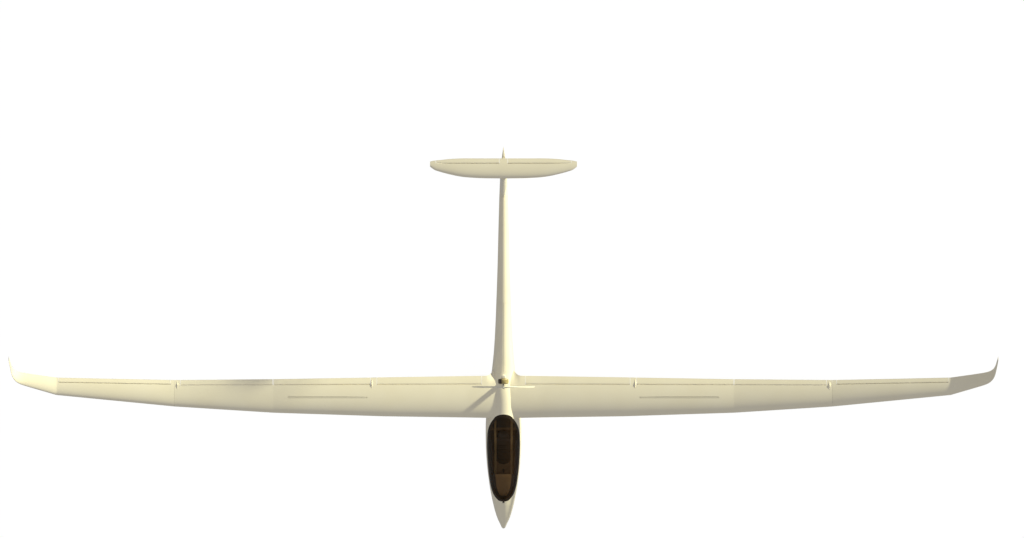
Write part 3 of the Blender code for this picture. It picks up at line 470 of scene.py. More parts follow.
def woven(name, pale, deep, thread=0.004):
    """Woven seat cloth: two crossed waves of threads, drawn at 4 mm so that the weave shows."""
    made, tree, shader, place = start(name, Roughness=0.92, Sheen_Weight=0.3, Sheen_Roughness=0.5)
    waves = [add(tree, "ShaderNodeTexWave", {"Vector": place, "Scale": 0.5 / thread, "Distortion": 0.4},
                 bands_direction=way).outputs["Fac"] for way in ("X", "Y")]
    weave = add(tree, "ShaderNodeMath", {0: waves[0], 1: waves[1]}, operation="MULTIPLY").outputs[0]
    tone = add(tree, "ShaderNodeMix", {"Factor": weave, "A": hex_colour(deep), "B": hex_colour(pale)},
               data_type="RGBA")
    tree.links.new(tone.outputs["Result"], shader.inputs["Base Color"])
    bump = add(tree, "ShaderNodeBump", {"Height": weave, "Strength": 0.4, "Distance": 0.0008})
    tree.links.new(bump.outputs["Normal"], shader.inputs["Normal"])
    return made


def metal(name, pale, deep, roughness, grit):
    """Metal with a cast or brushed skin: fine grit in the bump and slight tarnish in the colour."""
    made, tree, shader, place = start(name, Metallic=1.0, Roughness=roughness)
    tarnish = add(tree, "ShaderNodeTexNoise", {"Vector": place, "Scale": 14.0, "Detail": 4.0})
    tone = add(tree, "ShaderNodeMix", {"Factor": tarnish.outputs["Fac"], "A": hex_colour(pale),
                                       "B": hex_colour(deep)}, data_type="RGBA")
    tree.links.new(tone.outputs["Result"], shader.inputs["Base Color"])
    sand = add(tree, "ShaderNodeTexNoise", {"Vector": place, "Scale": 1.0 / grit, "Detail": 1.0})
    bump = add(tree, "ShaderNodeBump", {"Height": sand.outputs["Fac"], "Strength": 0.25,
                                        "Distance": 0.0004})
    tree.links.new(bump.outputs["Normal"], shader.inputs["Normal"])
    return made


def painted(name, pale, deep, roughness, peel=0.004):
    """Sprayed paint: tone drifts over a hand's width, and the surface has a fine orange peel."""
    made, tree, shader, place = start(name, Roughness=roughness, IOR=1.5)
    drift = add(tree, "ShaderNodeTexNoise", {"Vector": place, "Scale": 11.0, "Detail": 3.0})
    tone = add(tree, "ShaderNodeMix", {"Factor": drift.outputs["Fac"], "A": hex_colour(pale),
                                       "B": hex_colour(deep)}, data_type="RGBA")
    tree.links.new(tone.outputs["Result"], shader.inputs["Base Color"])
    skin = add(tree, "ShaderNodeTexNoise", {"Vector": place, "Scale": 1.0 / peel, "Detail": 1.0})
    bump = add(tree, "ShaderNodeBump", {"Height": skin.outputs["Fac"], "Strength": 0.2,
                                        "Distance": 0.0003})
    tree.links.new(bump.outputs["Normal"], shader.inputs["Normal"])
    return made


print("middle grey made linear:", [round(value, 3) for value in hex_colour("#808080")])

# %% [markdown]
# The finishes of this aircraft, each made once and shared by its pieces. The colours are matched
# to the photograph, and are typical for the material where the photograph doesn't show it.

# %% Palette
GELCOAT = gelcoat("polished_gelcoat")
STRIPED = gelcoat("polished_gelcoat_striped", stripe=side_stripe)
ACRYLIC = acrylic()
LEATHER = grained("dark_brown_leather", "#40311F", "#1E160D", grain=0.003, roughness=0.55)
HOOD_LEATHER = grained("brown_hood_leather", "#BC9460", "#8A673C", grain=0.003, roughness=0.6)
TRIM = grained("brown_cockpit_trim", "#A07C4C", "#6C5030", grain=0.005, roughness=0.75)
BOLSTER = grained("tan_bolster_vinyl", "#F0CE94", "#CBA46A", grain=0.004, roughness=0.6)
CLOTH = woven("woven_seat_cloth", "#54422C", "#2A1F12")
WEBBING = woven("tan_harness_webbing", "#E6C288", "#B08C58", thread=0.003)
RUBBER = grained("moulded_tyre_rubber", "#2B2B2A", "#171716", grain=0.002, roughness=0.85)
SEAL = grained("rubber_edge_seal", "#3A3936", "#242321", grain=0.002, roughness=0.7)
FRAME_PAINT = painted("dark_canopy_frame_paint", "#32281F", "#211A14", roughness=0.45)
CAST = metal("cast_aluminium", "#B9B7B0", "#96938B", roughness=0.42, grit=0.0015)
BOLT = metal("blackened_bolt_steel", "#4A4844", "#302F2C", roughness=0.40, grit=0.0010)
STEEL = painted("satin_painted_steel", "#92938F", "#7C7D79", roughness=0.45)
MOTOR_PAINT = painted("tan_motor_enamel", "#BDAE7E", "#9C8D5F", roughness=0.38)
# dark brown for the motor's side away from the light: painted shade
MOTOR_PAINTED_SHADE = painted("dark_brown_painted_shade", "#3A2C1E", "#281E14", roughness=0.45)
BLADE_PAINT = painted("white_blade_lacquer", "#F4F0E2", "#E6E0CC", roughness=0.35, peel=0.003)
print("materials:", len(bpy.data.materials))

# %% [markdown]
# The fuselage's shape is a table of sections: half width, top and bottom at each station. A
# section is two half ellipses that meet at the waist, a little below the middle. Between the
# rows a smooth curve is drawn over the square root of the station, because a blunt nose grows
# like a square root: fast at first and then ever more slowly.

# %% Fuselage shape
WAIST = 0.47
BOOM_END = 6.568
# station, half width, top, bottom
HULL = np.array((
    (0.000, 0.000, 0.000, 0.000),
    (0.025, 0.034, 0.042, -0.036),
    (0.091, 0.064, 0.091, -0.073),
    (0.182, 0.108, 0.150, -0.112),
    (0.364, 0.166, 0.236, -0.164),
    (0.545, 0.208, 0.309, -0.200),
    (0.727, 0.243, 0.378, -0.222),
    (0.909, 0.270, 0.436, -0.234),
    (1.091, 0.292, 0.478, -0.238),
    (1.364, 0.314, 0.530, -0.236),
    (1.636, 0.323, 0.568, -0.214),
    (1.927, 0.322, 0.598, -0.166),
    (2.182, 0.304, 0.602, -0.106),
    (2.450, 0.274, 0.592, -0.041),
    (2.545, 0.262, 0.579, -0.018),
    (2.660, 0.244, 0.556, 0.007),
    (2.818, 0.220, 0.527, 0.042),
    (3.218, 0.176, 0.504, 0.108),
    (3.655, 0.149, 0.484, 0.160),
    (4.182, 0.128, 0.472, 0.202),
    (4.745, 0.109, 0.458, 0.234),
    (5.400, 0.093, 0.446, 0.258),
    (6.018, 0.076, 0.432, 0.274),
    (6.620, 0.052, 0.420, 0.292),
))


def hull_at(station):
    """Half width, top, bottom and waist at stations."""
    root = np.sqrt(np.clip(station, 0.0, None))
    half, top, bottom = smooth_columns(np.column_stack([np.sqrt(HULL[:, 0]), HULL[:, 1:]]), root)
    return half, top, bottom, bottom + WAIST * (top - bottom)


def hull_point(station, angle, inset=0.0):
    """Points on the skin: x is the angle's cosine times the half width, z its sine times the rise."""
    half, top, bottom, waist = hull_at(station)
    rise = np.where(np.sin(angle) > 0.0, top - waist, waist - bottom)
    return grid_of((half - inset) * np.cos(angle), station, waist + (rise - inset) * np.sin(angle))


def hull_side(station, height, inset=0.0):
    """Half the skin's width at a station and height: the ellipse solved for x."""
    half, top, bottom, waist = hull_at(station)
    rise = np.where(height > waist, top - waist, waist - bottom) - inset
    return (half - inset) * np.sqrt(np.clip(1.0 - ((height - waist) / rise) ** 2, 0.0, 1.0))


def hull_top(station, x):
    """Height of the upper skin at a distance from the middle: the ellipse solved for z."""
    half, top, _, waist = hull_at(station)
    return waist + (top - waist) * np.sqrt(np.clip(1.0 - (x / half) ** 2, 0.0, 1.0))


print("fuselage's width at its widest, m:", round(2.0 * float(HULL[:, 1].max()), 3))

# %% [markdown]
# The canopy's lower edge, the sill, is a line in the side view. Projected on to the skin it
# becomes an angle at each station. The same line, moved up at right angles to itself, gives the
# edge of the canopy's frame and the edge of its glass, so the three always run side by side.

# %% Sill line
# station, height
SILL = np.array((
    (0.478, 0.305), (0.496, 0.279), (0.543, 0.254), (0.600, 0.226), (0.700, 0.197), (0.813, 0.186),
    (1.016, 0.202), (1.300, 0.247), (1.573, 0.295), (1.700, 0.333), (1.796, 0.380), (1.900, 0.456),
    (1.984, 0.524), (2.040, 0.564), (2.082, 0.612),
))


def edge_line(raised, inset=0.0):
    """The sill moved up by raised: its first and last station on the skin, and its angle between them."""
    along = np.gradient(SILL, axis=0)
    along /= np.linalg.norm(along, axis=1)[:, None]
    moved = SILL + raised * np.stack([-along[:, 1], along[:, 0]], axis=1)
    fine = np.linspace(moved[0, 0], moved[-1, 0], 4001)
    height = smooth_curve(moved[:, 0], moved[:, 1], fine)
    inside = fine[height < hull_at(fine)[1] - inset]

    def angle(station):
        """Angle from the aircraft's left side up to the line: the arc sine of its share of the rise."""
        _, top, _, waist = hull_at(station)
        height = smooth_curve(moved[:, 0], moved[:, 1], np.clip(station, inside[0], inside[-1]))
        share = (height - waist) / np.maximum(top - inset - waist, 1e-9)
        angles = np.arcsin(np.clip(share, -1.0, 1.0))
        return np.where((station > inside[0]) & (station < inside[-1]), angles, 0.5 * np.pi)

    return inside[0], inside[-1], angle


def both_sides(left):
    """Rows of points down the left side, carried on up the right side."""
    return np.concatenate([left, left[:, -2::-1] * MIRROR], axis=1)


def eased(count, low=0.0, high=1.0):
    """Places from low to high that crowd together at both ends, as half a turn of a cosine does."""
    return low + (high - low) * 0.5 * (1.0 - np.cos(np.linspace(0.0, np.pi, count)))


sill_front, sill_back, sill_angle = edge_line(0.0)
print("cockpit opening from station", round(sill_front, 3), "to", round(sill_back, 3))

# %% [markdown]
# The skin is one sheet from the nose to the stern, as the real one is one moulding. A row of
# points starts at the sill, runs down the left side, under the belly and up to the other sill.
# Two pairs of columns are steered along straight lines: the sides of the wheel well and of the
# tail wheel's slot below, and of the engine bay's doors and the canopy hinge's notch above. So
# those openings are whole patches of faces left out.

# %% Fuselage skin
WELL = (1.84, 2.36)
TAIL_SLOT = (6.218, 6.442)
BAY = (2.84, 4.10)
NOTCH = (0.463, 0.510)
NOTCH_HALF_WIDTH = 0.018
WELL_HALF_WIDTH = 0.110
SLOT_HALF_WIDTH = 0.036
BAY_HALF_WIDTH = 0.100
SKIN = 0.004
# columns of the left half down to the door line and to the well line, and below that
DOOR_COLUMN = 6
WELL_COLUMN = 34
BELLY_COLUMNS = 8


def skin_angles(station):
    """Angles of the left half's columns: sill to door line, to well line, to keel, evenly in each."""
    half = np.maximum(hull_at(station)[0], 1e-4)
    sill = sill_angle(station)
    door = np.interp(station, (0.0, *NOTCH, 0.56, 2.1, *BAY, BOOM_END),
                     (0.0, NOTCH_HALF_WIDTH, NOTCH_HALF_WIDTH, 0.04, 0.14, BAY_HALF_WIDTH,
                      BAY_HALF_WIDTH, 0.025))
    door = np.arccos(np.clip(door / half, 0.05, 0.85))
    # near the notch the door line follows close under the sill, so that the notch stays narrow
    apart = np.interp(station, (NOTCH[0] - 0.06, NOTCH[0], NOTCH[1], 0.56), (0.1, 0.02, 0.02, 0.1))
    door = np.minimum(door, sill - apart * (sill + 0.5 * np.pi))
    well = np.interp(station, (0.0, *WELL, *TAIL_SLOT, BOOM_END),
                     (0.0, WELL_HALF_WIDTH, WELL_HALF_WIDTH, SLOT_HALF_WIDTH, SLOT_HALF_WIDTH, 0.030))
    well = -np.arccos(np.clip(well / half, 0.2, 0.85))
    keel = np.full_like(station, -0.5 * np.pi)
    return np.concatenate([np.linspace(sill, door, DOOR_COLUMN, endpoint=False),
                           np.linspace(door, well, WELL_COLUMN - DOOR_COLUMN, endpoint=False),
                           np.linspace(well, keel, BELLY_COLUMNS + 1)]).T


nose_rows = sill_front * np.linspace(0.0, 1.0, 30, endpoint=False) ** 2
skin_rows = np.concatenate([nose_rows, eased(110, sill_front, sill_back)[:-1],
                            np.linspace(sill_back, BOOM_END, 110)])
for edge in (NOTCH[0], *WELL, *TAIL_SLOT, *BAY):
    skin_rows[np.argmin(np.abs(skin_rows - edge))] = edge
skin_grid = both_sides(hull_point(skin_rows[:, None], skin_angles(skin_rows)))


def rows_between(front, back):
    """Marks the rows of faces between two stations."""
    middle = 0.5 * (skin_rows[1:] + skin_rows[:-1])[:, None]
    return (middle > front) & (middle < back)


column_number = np.arange(skin_grid.shape[1] - 1)
from_top = np.minimum(column_number, column_number[::-1])
left_out = (from_top >= WELL_COLUMN) & (rows_between(*WELL) | rows_between(*TAIL_SLOT))
left_out |= (from_top < DOOR_COLUMN) & (rows_between(*BAY) | rows_between(NOTCH[0], sill_front))
fuselage = sheet("fuselage_skin", skin_grid, STRIPED, "airframe", left_out=left_out,
                 uv=skin_grid[:, :, 1:])
thicken(fuselage, SKIN)
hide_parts("fuselage_front", "tail_boom")

stern_ring = hull_point(BOOM_END - 0.001, full_turn(48), 0.001)
stern = closed("stern_frame", np.stack([stern_ring, stern_ring - np.array([0.0, 0.006, 0.0])]), GELCOAT,
               "airframe")
print("fuselage skin faces:", len(fuselage.data.polygons))

# %% [markdown]
# The engine bay's doors lie flush in the top of the boom and meet in the middle. Each is a patch
# of the same surface, 1.5 mm short of its opening all round, with the thickness of a real door.

# %% Engine bay doors
DOOR_GAP = 0.0015
DOOR_THICKNESS = 0.010
for side, suffix in SIDES:
    stations = np.linspace(BAY[0] + DOOR_GAP, BAY[1] - DOOR_GAP, 60)[:, None]
    x = np.linspace(DOOR_GAP, BAY_HALF_WIDTH - DOOR_GAP, 12)
    upper = grid_of(side * x, stations, hull_top(stations, x))
    lower = upper[:, ::-1] - np.array([0.0, 0.0, DOOR_THICKNESS])
    door = closed(f"engine_bay_door_{suffix}_skin", np.concatenate([upper, lower], axis=1), GELCOAT,
                  "airframe")
    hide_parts(f"engine_bay_door_{suffix}")
print("engine bay's length and width, m:", round(BAY[1] - BAY[0], 3), 2.0 * BAY_HALF_WIDTH)

# %% [markdown]
# Inside, a liner follows the skin 24 mm in, from the pilot's feet to the bulkhead behind the
# seat. There it steps up to the luggage shelf: the rows behind the bulkhead are the same rows
# with everything under the shelf's height lifted to it. A rail closes the gap between the liner's
# edge and the skin's edge all round the opening. Consoles run along both sides, and a ribbed mat
# lies on the shelf.

# %% Cockpit liner and rail
LINER_INSET = 0.024
COCKPIT_FRONT = 0.26
COCKPIT_BACK = 1.79
SHELF_BACK = 2.12
SHELF_HEIGHT = 0.300
RAIL_DEPTH = 0.012

liner_front, liner_back, liner_angle = edge_line(0.0, LINER_INSET)


def liner_rows(stations):
    """Rows of the liner from the left sill round the floor to the right sill."""
    angle = np.linspace(liner_angle(stations), -0.5 * np.pi, 49).T
    return both_sides(hull_point(stations[:, None], angle, LINER_INSET))


front_part = liner_rows(np.concatenate([np.linspace(COCKPIT_FRONT, liner_front, 8, endpoint=False),
                                        liner_front + (COCKPIT_BACK - liner_front)
                                        * np.linspace(0.0, 1.0, 50) ** 2]))
shelf_part = liner_rows(np.concatenate([np.linspace(COCKPIT_BACK, liner_back, 14, endpoint=False),
                                        np.linspace(liner_back, SHELF_BACK, 4)]))
shelf_part[:, :, 2] = np.maximum(shelf_part[:, :, 2], SHELF_HEIGHT)
liner_grid = np.concatenate([front_part, shelf_part])
# both ends close in a point: the footwell ahead and the bulkhead behind the shelf
ends = [np.broadcast_to(liner_grid[row].mean(axis=0), liner_grid[row].shape) for row in (0, -1)]
liner_grid = np.concatenate([ends[0][None], liner_grid, ends[1][None]])
liner = sheet("cockpit_liner", liner_grid[:, ::-1], TRIM, "airframe")
thicken(liner, 0.002)


def sill_loop(line, count, inset=0.0, share=0.0, line_to=None):
    """A closed loop of points along an edge line: back along the left side, forward along the right."""
    front, back, angle = line
    stations = eased(count, front, back)
    angles = angle(stations)
    if line_to is not None:
        to_front, to_back, to_angle = line_to
        to_stations = eased(count, to_front, to_back)
        angles = (1.0 - share) * angles + share * to_angle(to_stations)
        stations = (1.0 - share) * stations + share * to_stations
    left = hull_point(stations, angles, inset)
    return np.concatenate([left, left[-2:0:-1] * MIRROR])


def outward_slope(count):
    """Unit vectors away from the opening in the side view, at the points of a sill loop."""
    stations = eased(count, sill_front, sill_back)
    step = 0.002
    rise = (hull_point(stations + step, sill_angle(stations + step))[:, 2]
            - hull_point(stations - step, sill_angle(stations - step))[:, 2]) / (2 * step)
    rise[0], rise[-1] = -8.0, 8.0
    away = np.stack([np.zeros(count), rise, -np.ones(count)], axis=1)
    away /= np.linalg.norm(away, axis=1)[:, None]
    return np.concatenate([away, away[-2:0:-1]])


RAIL_POINTS = 120
outer_edge = sill_loop((sill_front, sill_back, sill_angle), RAIL_POINTS, HAIR)
inner_edge = sill_loop((liner_front, liner_back, liner_angle), RAIL_POINTS, LINER_INSET + 0.001)
away = RAIL_DEPTH * outward_slope(RAIL_POINTS)
rail_grid = np.stack([outer_edge, inner_edge, inner_edge + away, outer_edge + away], axis=1)
rail = sheet("cockpit_rail", rail_grid, SEAL, "airframe", ring=True, loop=True)
print("cockpit liner faces:", len(liner.data.polygons))

# %% [markdown]
# Along both walls run consoles, padded bars from beside the hood back to the seat's shoulders,
# and a thin ribbed mat lies on the luggage shelf. Both are plain sections on a path, because
# they are firm foam under a stretched cover.

# %% Consoles and shelf mat
CONSOLE_RISE = 0.030
# station, height, distance of the inner side from the middle
CONSOLE = np.array(((0.86, 0.060, 0.150), (1.10, 0.085, 0.192), (1.40, 0.110, 0.200),
                    (1.62, 0.150, 0.200)))
round_x, round_z = rounded(full_turn(28), 0.6)
stations = eased(50, CONSOLE[0, 0], CONSOLE[-1, 0])
height, low_x = (column[:, None] for column in smooth_columns(CONSOLE, stations))
ends = np.sqrt(np.clip(1.0 - np.abs(np.linspace(-1.0, 1.0, 50)) ** 16, 0.02, 1.0))[:, None]
half = 0.5 * (hull_side(stations[:, None], height, LINER_INSET) - 0.002 - low_x)
for side, suffix in SIDES:
    console_grid = grid_of(side * (low_x + half + half * ends * round_x), stations[:, None],
                           height + CONSOLE_RISE * ends * round_z)
    console = closed(f"console_{suffix}", console_grid, LEATHER, "airframe")

# the mat on the luggage shelf, a thin ribbed pad
MAT_THICKNESS = 0.004
RIB_HALF_HEIGHT = 0.0012
MAT_RIB_PITCH = 0.020
mat_x = np.linspace(-0.205, 0.205, 160)
mat_y = np.linspace(1.835, 2.075, 14)
ribs = (SHELF_HEIGHT + MAT_THICKNESS
        + RIB_HALF_HEIGHT * np.sign(np.sin(mat_x * 2.0 * np.pi / MAT_RIB_PITCH)))
mat_top = grid_of(mat_x, mat_y[:, None], ribs)
mat_base = mat_top[:, ::-1] * np.array([1.0, 1.0, 0.0]) + np.array([0.0, 0.0, SHELF_HEIGHT + HAIR])
mat = closed("shelf_mat", np.concatenate([mat_top, mat_base], axis=1), SEAL, "airframe")
print("ribs across the shelf's mat:", int((mat_x[-1] - mat_x[0]) / MAT_RIB_PITCH))

# %% [markdown]
# Canopy. The real one is a single sheet of brown tinted acrylic, blown to shape, that runs right
# to the sill. A slim dark frame is bonded inside its edge and closes on the rail. Glass and frame
# follow the fuselage's own surface, so the canopy carries the nose's lines on without a step. At
# the nose a lug on the frame sits in a notch of the skin, on the pin that the canopy turns about.

# %% Canopy
FRAME_GAP = 0.004
FRAME_BAND = 0.036
FRAME_DEPTH = 0.014
GLASS = 0.004
low_line = edge_line(FRAME_GAP)
high_line = edge_line(FRAME_GAP + FRAME_BAND)
CANOPY_POINTS = 140
shares = (0.0, 0.25, 0.5, 0.75, 1.0)
outer = [sill_loop(low_line, CANOPY_POINTS, GLASS + HAIR, share, high_line) for share in shares]
inner = [sill_loop(low_line, CANOPY_POINTS, FRAME_DEPTH, share, high_line) for share in shares[::-1]]
canopy_frame = sheet("canopy_frame_moulding", np.stack([*outer, *inner], axis=1), FRAME_PAINT, "canopy",
                     ring=True, loop=True)
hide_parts("canopy_frame")

stations = eased(120, low_line[0], low_line[1])
angles = np.linspace(low_line[2](stations), np.pi - low_line[2](stations), 65).T
glass_grid = np.concatenate([hull_point(stations[:, None], angles),
                             hull_point(stations[:, None], angles[:, ::-1], GLASS)], axis=1)
glass = sheet("canopy_glass_blown", glass_grid, ACRYLIC, "canopy", ring=True)
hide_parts("canopy_glass")
print("canopy from station", round(low_line[0], 3), "to", round(low_line[1], 3))

HINGE = np.array([0.0, 0.470, 0.283])
LUG_HALF = 0.0150
LUG_LENGTH = 0.050
LUG_DEPTH = 0.006
share = np.linspace(0.0, 1.0, 12)
lug_top = np.interp(share, (0.0, 0.25, 1.0), (0.006, 0.008, 0.010))
round_x, round_z = rounded(full_turn(32), 0.35)
middle, rise = 0.5 * (lug_top - LUG_DEPTH)[:, None], 0.5 * (lug_top + LUG_DEPTH)[:, None]
lug_grid = HINGE + grid_of(LUG_HALF * round_x, LUG_LENGTH * share[:, None], middle + rise * round_z)
lug = closed("canopy_hinge_lug", lug_grid, FRAME_PAINT, "canopy")
PIN_PROFILE = [(-0.0175, 0.0005), (-0.0175, 0.0045), (-0.0165, 0.0055),
               (0.0165, 0.0055), (0.0175, 0.0045), (0.0175, 0.0005)]
hinge_pin = turned("canopy_hinge_pin", PIN_PROFILE, HINGE, "x", BOLT, "canopy", 24)

# %% [markdown]
# Seat. A thin composite pan carries two things that a hand can press in: the cushion, which runs
# from the thighs up the back in one piece, and a round leather headrest. Both pads are inflated
# by a short cloth simulation inside scene.py, and the cushion then gets its seams.

# %% Seat pan and cushion
SEAT_LINE = np.array(((0.990, -0.110), (1.200, -0.145), (1.360, -0.120), (1.450, -0.040), (1.520, 0.040),
                      (1.660, 0.280)))
SEAT_ROWS = 48
PAD_THICKNESS = 0.034
SEAT_HALF_WIDTH = 0.195
SEAT_WALL_GAP = 0.006


def along_seat(count):
    """Evenly spaced (station, height) points up the seat's upper line, and unit normals off it."""
    run = np.concatenate([[0.0], np.cumsum(np.linalg.norm(np.diff(SEAT_LINE, axis=0), axis=1))])
    places = np.linspace(0.0, run[-1], count)
    line = np.stack(smooth_columns(np.column_stack([run, SEAT_LINE]), places), axis=1)
    way = np.gradient(line, axis=0)
    way /= np.linalg.norm(way, axis=1)[:, None]
    return line, np.stack([-way[:, 1], way[:, 0]], axis=1)


def seat_slab(name, low, high, half_width, roundness, material, around=40, middle=0.0):
    """A slab along the seat line between two depths, about a middle: each section is a superellipse."""
    line, normal = along_seat(SEAT_ROWS)
    wide, deep = rounded(full_turn(around), 2.0 / roundness)
    lowest = line + low * normal
    room = hull_side(lowest[:, 0], lowest[:, 1], LINER_INSET) - SEAT_WALL_GAP
    width = np.minimum(half_width, room)
    taper = 1.0 - 0.9 * np.abs(np.linspace(-1.0, 1.0, SEAT_ROWS)) ** 40
    depth = 0.5 * (low + high) + 0.5 * (high - low) * taper[:, None] * deep
    grid = grid_of(middle + width[:, None] * wide, line[:, :1] + normal[:, :1] * depth,
                   line[:, 1:] + normal[:, 1:] * depth)
    return closed(name, grid, material, "airframe")


def inflate(made, voxel, pressure, most):
    """Remeshes a closed form and blows it up with cloth pressure, no point further than most."""
    remesh = made.modifiers.new("even", "REMESH")
    remesh.mode = "VOXEL"
    remesh.voxel_size = voxel
    apply_all(made)
    rest = read_points(made)
    cloth = made.modifiers.new("cloth", "CLOTH")
    cloth.settings.use_pressure = True
    cloth.settings.uniform_pressure_force = pressure
    cloth.settings.effector_weights.gravity = 0.0
    for number in range(1, 21):
        bpy.context.scene.frame_set(number)
    apply_all(made)
    bpy.context.scene.frame_set(1)
    moved = read_points(made) - rest
    length = np.linalg.norm(moved, axis=1)[:, None]
    write_points(made, rest + moved * np.minimum(1.0, most / np.maximum(length, 1e-9)))


pan = seat_slab("seat_pan", -PAD_THICKNESS - 0.008, -PAD_THICKNESS - 0.001, 0.200, 12.0, FRAME_PAINT)
cushion = seat_slab("seat_cushion", -PAD_THICKNESS + 0.004, -0.008, SEAT_HALF_WIDTH - 0.010, 5.0, CLOTH)
inflate(cushion, voxel=0.007, pressure=4.0, most=0.010)
line, normal = along_seat(400)
level = to_aircraft(read_points(cushion))
offset = level[:, None, 1:] - line[None, ::4]
nearest = np.argmin((offset ** 2).sum(axis=2), axis=1) * 4
run = np.linspace(0.0, 1.0, 400)[nearest] * 0.96
SEAM_PITCH = 0.12
SEAM_DEPTH = 0.006
SEAM_WIDTH = 0.008
to_seam = np.abs((run / SEAM_PITCH) % 1.0 - 0.5) * SEAM_PITCH
sunk = SEAM_DEPTH * np.exp(-(to_seam / SEAM_WIDTH) ** 2)
side = np.sign(((level[:, 1:] - line[nearest]) * normal[nearest]).sum(axis=1) + 0.5 * PAD_THICKNESS)
level[:, 1:] -= normal[nearest] * (side * sunk)[:, None]
write_points(cushion, to_world(level))
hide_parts("seat")
print("cushion points:", len(cushion.data.vertices))

# %% [markdown]
# Trim of the seat. It is thin and firm, so it needs no cloth simulation: the bolsters are slabs
# along the seat's own line, and the straps and the panel are plain sections carried along a path.

# %% Thigh panel, bolsters and straps
# a firm leather panel under the thighs: its rear edge is cut back in a curve in the middle
THIGH_RUN = (0.150, 0.085)
THIGH_HALF = (0.176, 0.012)  # half width, half thickness
SEAT_RUN = 0.70
line, normal = along_seat(200)
wide, deep = rounded(full_turn(40), 0.5)
ends = np.sqrt(1.0 - np.abs(np.linspace(-1.0, 1.0, 26)) ** 12 * 0.96)[:, None]
place = (np.linspace(0.012, 1.0, 26)[:, None] * (THIGH_RUN[0] + THIGH_RUN[1] * wide ** 2)
         * 200.0 / SEAT_RUN)
place_y, place_z, way_y, way_z = straight_columns(np.column_stack([np.arange(200), line, normal]), place)
depth = -0.008 + THIGH_HALF[1] * ends * deep
panel_grid = grid_of(THIGH_HALF[0] * wide, place_y + way_y * depth, place_z + way_z * depth)
thigh = closed("thigh_panel", panel_grid, HOOD_LEATHER, "airframe")

# tan bolsters along the seat's sides, and webbing straps that run on from them to the shelf
BOLSTER_MIDDLE = 0.149
STRAP_HALF = np.array((0.019, 0.0015))  # half width, half thickness
# station, height
STRAP = np.array(((1.630, 0.262), (1.668, 0.318), (1.720, 0.330), (1.800, 0.322), (1.860, 0.312),
                  (2.050, 0.309)))
for side, suffix in SIDES:
    bolster = seat_slab(f"seat_bolster_{suffix}", -0.010, 0.022, 0.021, 3.0, BOLSTER, around=24,
                        middle=side * BOLSTER_MIDDLE)
    stations = np.linspace(STRAP[0, 0], STRAP[-1, 0], 60)
    (height,) = smooth_columns(STRAP, stations)
    corners = STRAP_HALF * np.array(((-1.0, -1.0), (1.0, -1.0), (1.0, 1.0), (-1.0, 1.0)))
    strap_grid = grid_of(side * BOLSTER_MIDDLE + corners[:, 0], stations[:, None],
                         height[:, None] + corners[:, 1])
    strap = closed(f"harness_strap_{suffix}", strap_grid, WEBBING, "airframe")
print("harness straps' length, m:", round(float(STRAP[-1, 0] - STRAP[0, 0]), 3))

# %% [markdown]
# The headrest is a short round pillow of leather, closed at both ends. It is blown up like the
# cushion, but far less, because it is packed firm.

# %% Headrest
HEADREST = (1.700, 0.366)
HEADREST_RADIUS = 0.088
HEADREST_HALF_WIDTH = 0.102
HEADREST_SHAPE = (0.86, 0.94)  # shares of the radius fore and aft, and up
position = np.linspace(-1.0, 1.0, 24)
bulge = HEADREST_RADIUS * (1.0 - np.abs(position) ** 6) ** 0.35
angle = full_turn(36)
pad = grid_of(HEADREST_HALF_WIDTH * position[:, None],
              HEADREST[0] + bulge[:, None] * np.cos(angle) * HEADREST_SHAPE[0],
              HEADREST[1] + bulge[:, None] * np.sin(angle) * HEADREST_SHAPE[1])
headrest = closed("headrest_pad", pad[1:-1], LEATHER, "airframe")
inflate(headrest, voxel=0.006, pressure=4.0, most=0.006)
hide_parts("headrest")
print("headrest points:", len(headrest.data.vertices))

# %% [markdown]
# Instrument hood. A mushroom of brown leather cloth stands on a pedestal between the pilot's
# knees: its top shades the dials and its back is the panel. Its section narrows forwards like
# the nose it sits in.

# %% Instrument hood and pedestal
# station, height of the lower edge, height of the crown, half width
HOOD = np.array((
    (0.600, 0.105, 0.205, 0.090), (0.660, 0.095, 0.240, 0.135), (0.740, 0.085, 0.275, 0.170),
    (0.840, 0.072, 0.305, 0.195), (0.940, 0.062, 0.328, 0.208), (0.990, 0.060, 0.332, 0.212),
))
PANEL_STATION = 0.972
LIP_SHARE = 0.955
SIDE_LIFT = 0.003
SIDE_THICKNESS = 0.0025
stations = np.linspace(HOOD[0, 0], HOOD[-1, 0], 30)
low, high, wide = smooth_columns(HOOD, stations)


def hood_rows(angle, out=0.0):
    """The hood's sections at some angles, a distance outside it: superellipses about its middle."""
    round_x, round_z = rounded(angle, 0.7, 0.8)
    return grid_of((wide + out)[:, None] * round_x, stations[:, None],
                   0.5 * (low + high)[:, None] + (0.5 * (high - low) + out)[:, None] * round_z)


hood_outer = hood_rows(full_turn(56))
lip = hood_outer[-1:].copy()
centre = lip.mean(axis=1, keepdims=True)
inner_lip = centre + (lip - centre) * LIP_SHARE
recess = inner_lip.copy()
recess[:, :, 1] = PANEL_STATION
hood = closed("instrument_hood_cover", np.concatenate([hood_outer, inner_lip, recess]), HOOD_LEATHER,
              "airframe")
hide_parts("instrument_hood")
# a sheet of the dark leather over the hood's sides, up to where they turn over into the top: painted
# shade on its steep sides
SHADE_SIDE_ANGLES = np.radians(np.linspace(-75.0, 53.0, 30))
for side, suffix in SIDES:
    shade_patch = hood_rows(SHADE_SIDE_ANGLES, SIDE_LIFT)[:, ::-int(side)] * np.array([side, 1.0, 1.0])
    shade_sheet = sheet(f"hood_side_painted_shade_{suffix}", shade_patch, LEATHER, "airframe")
    thicken(shade_sheet, SIDE_THICKNESS)

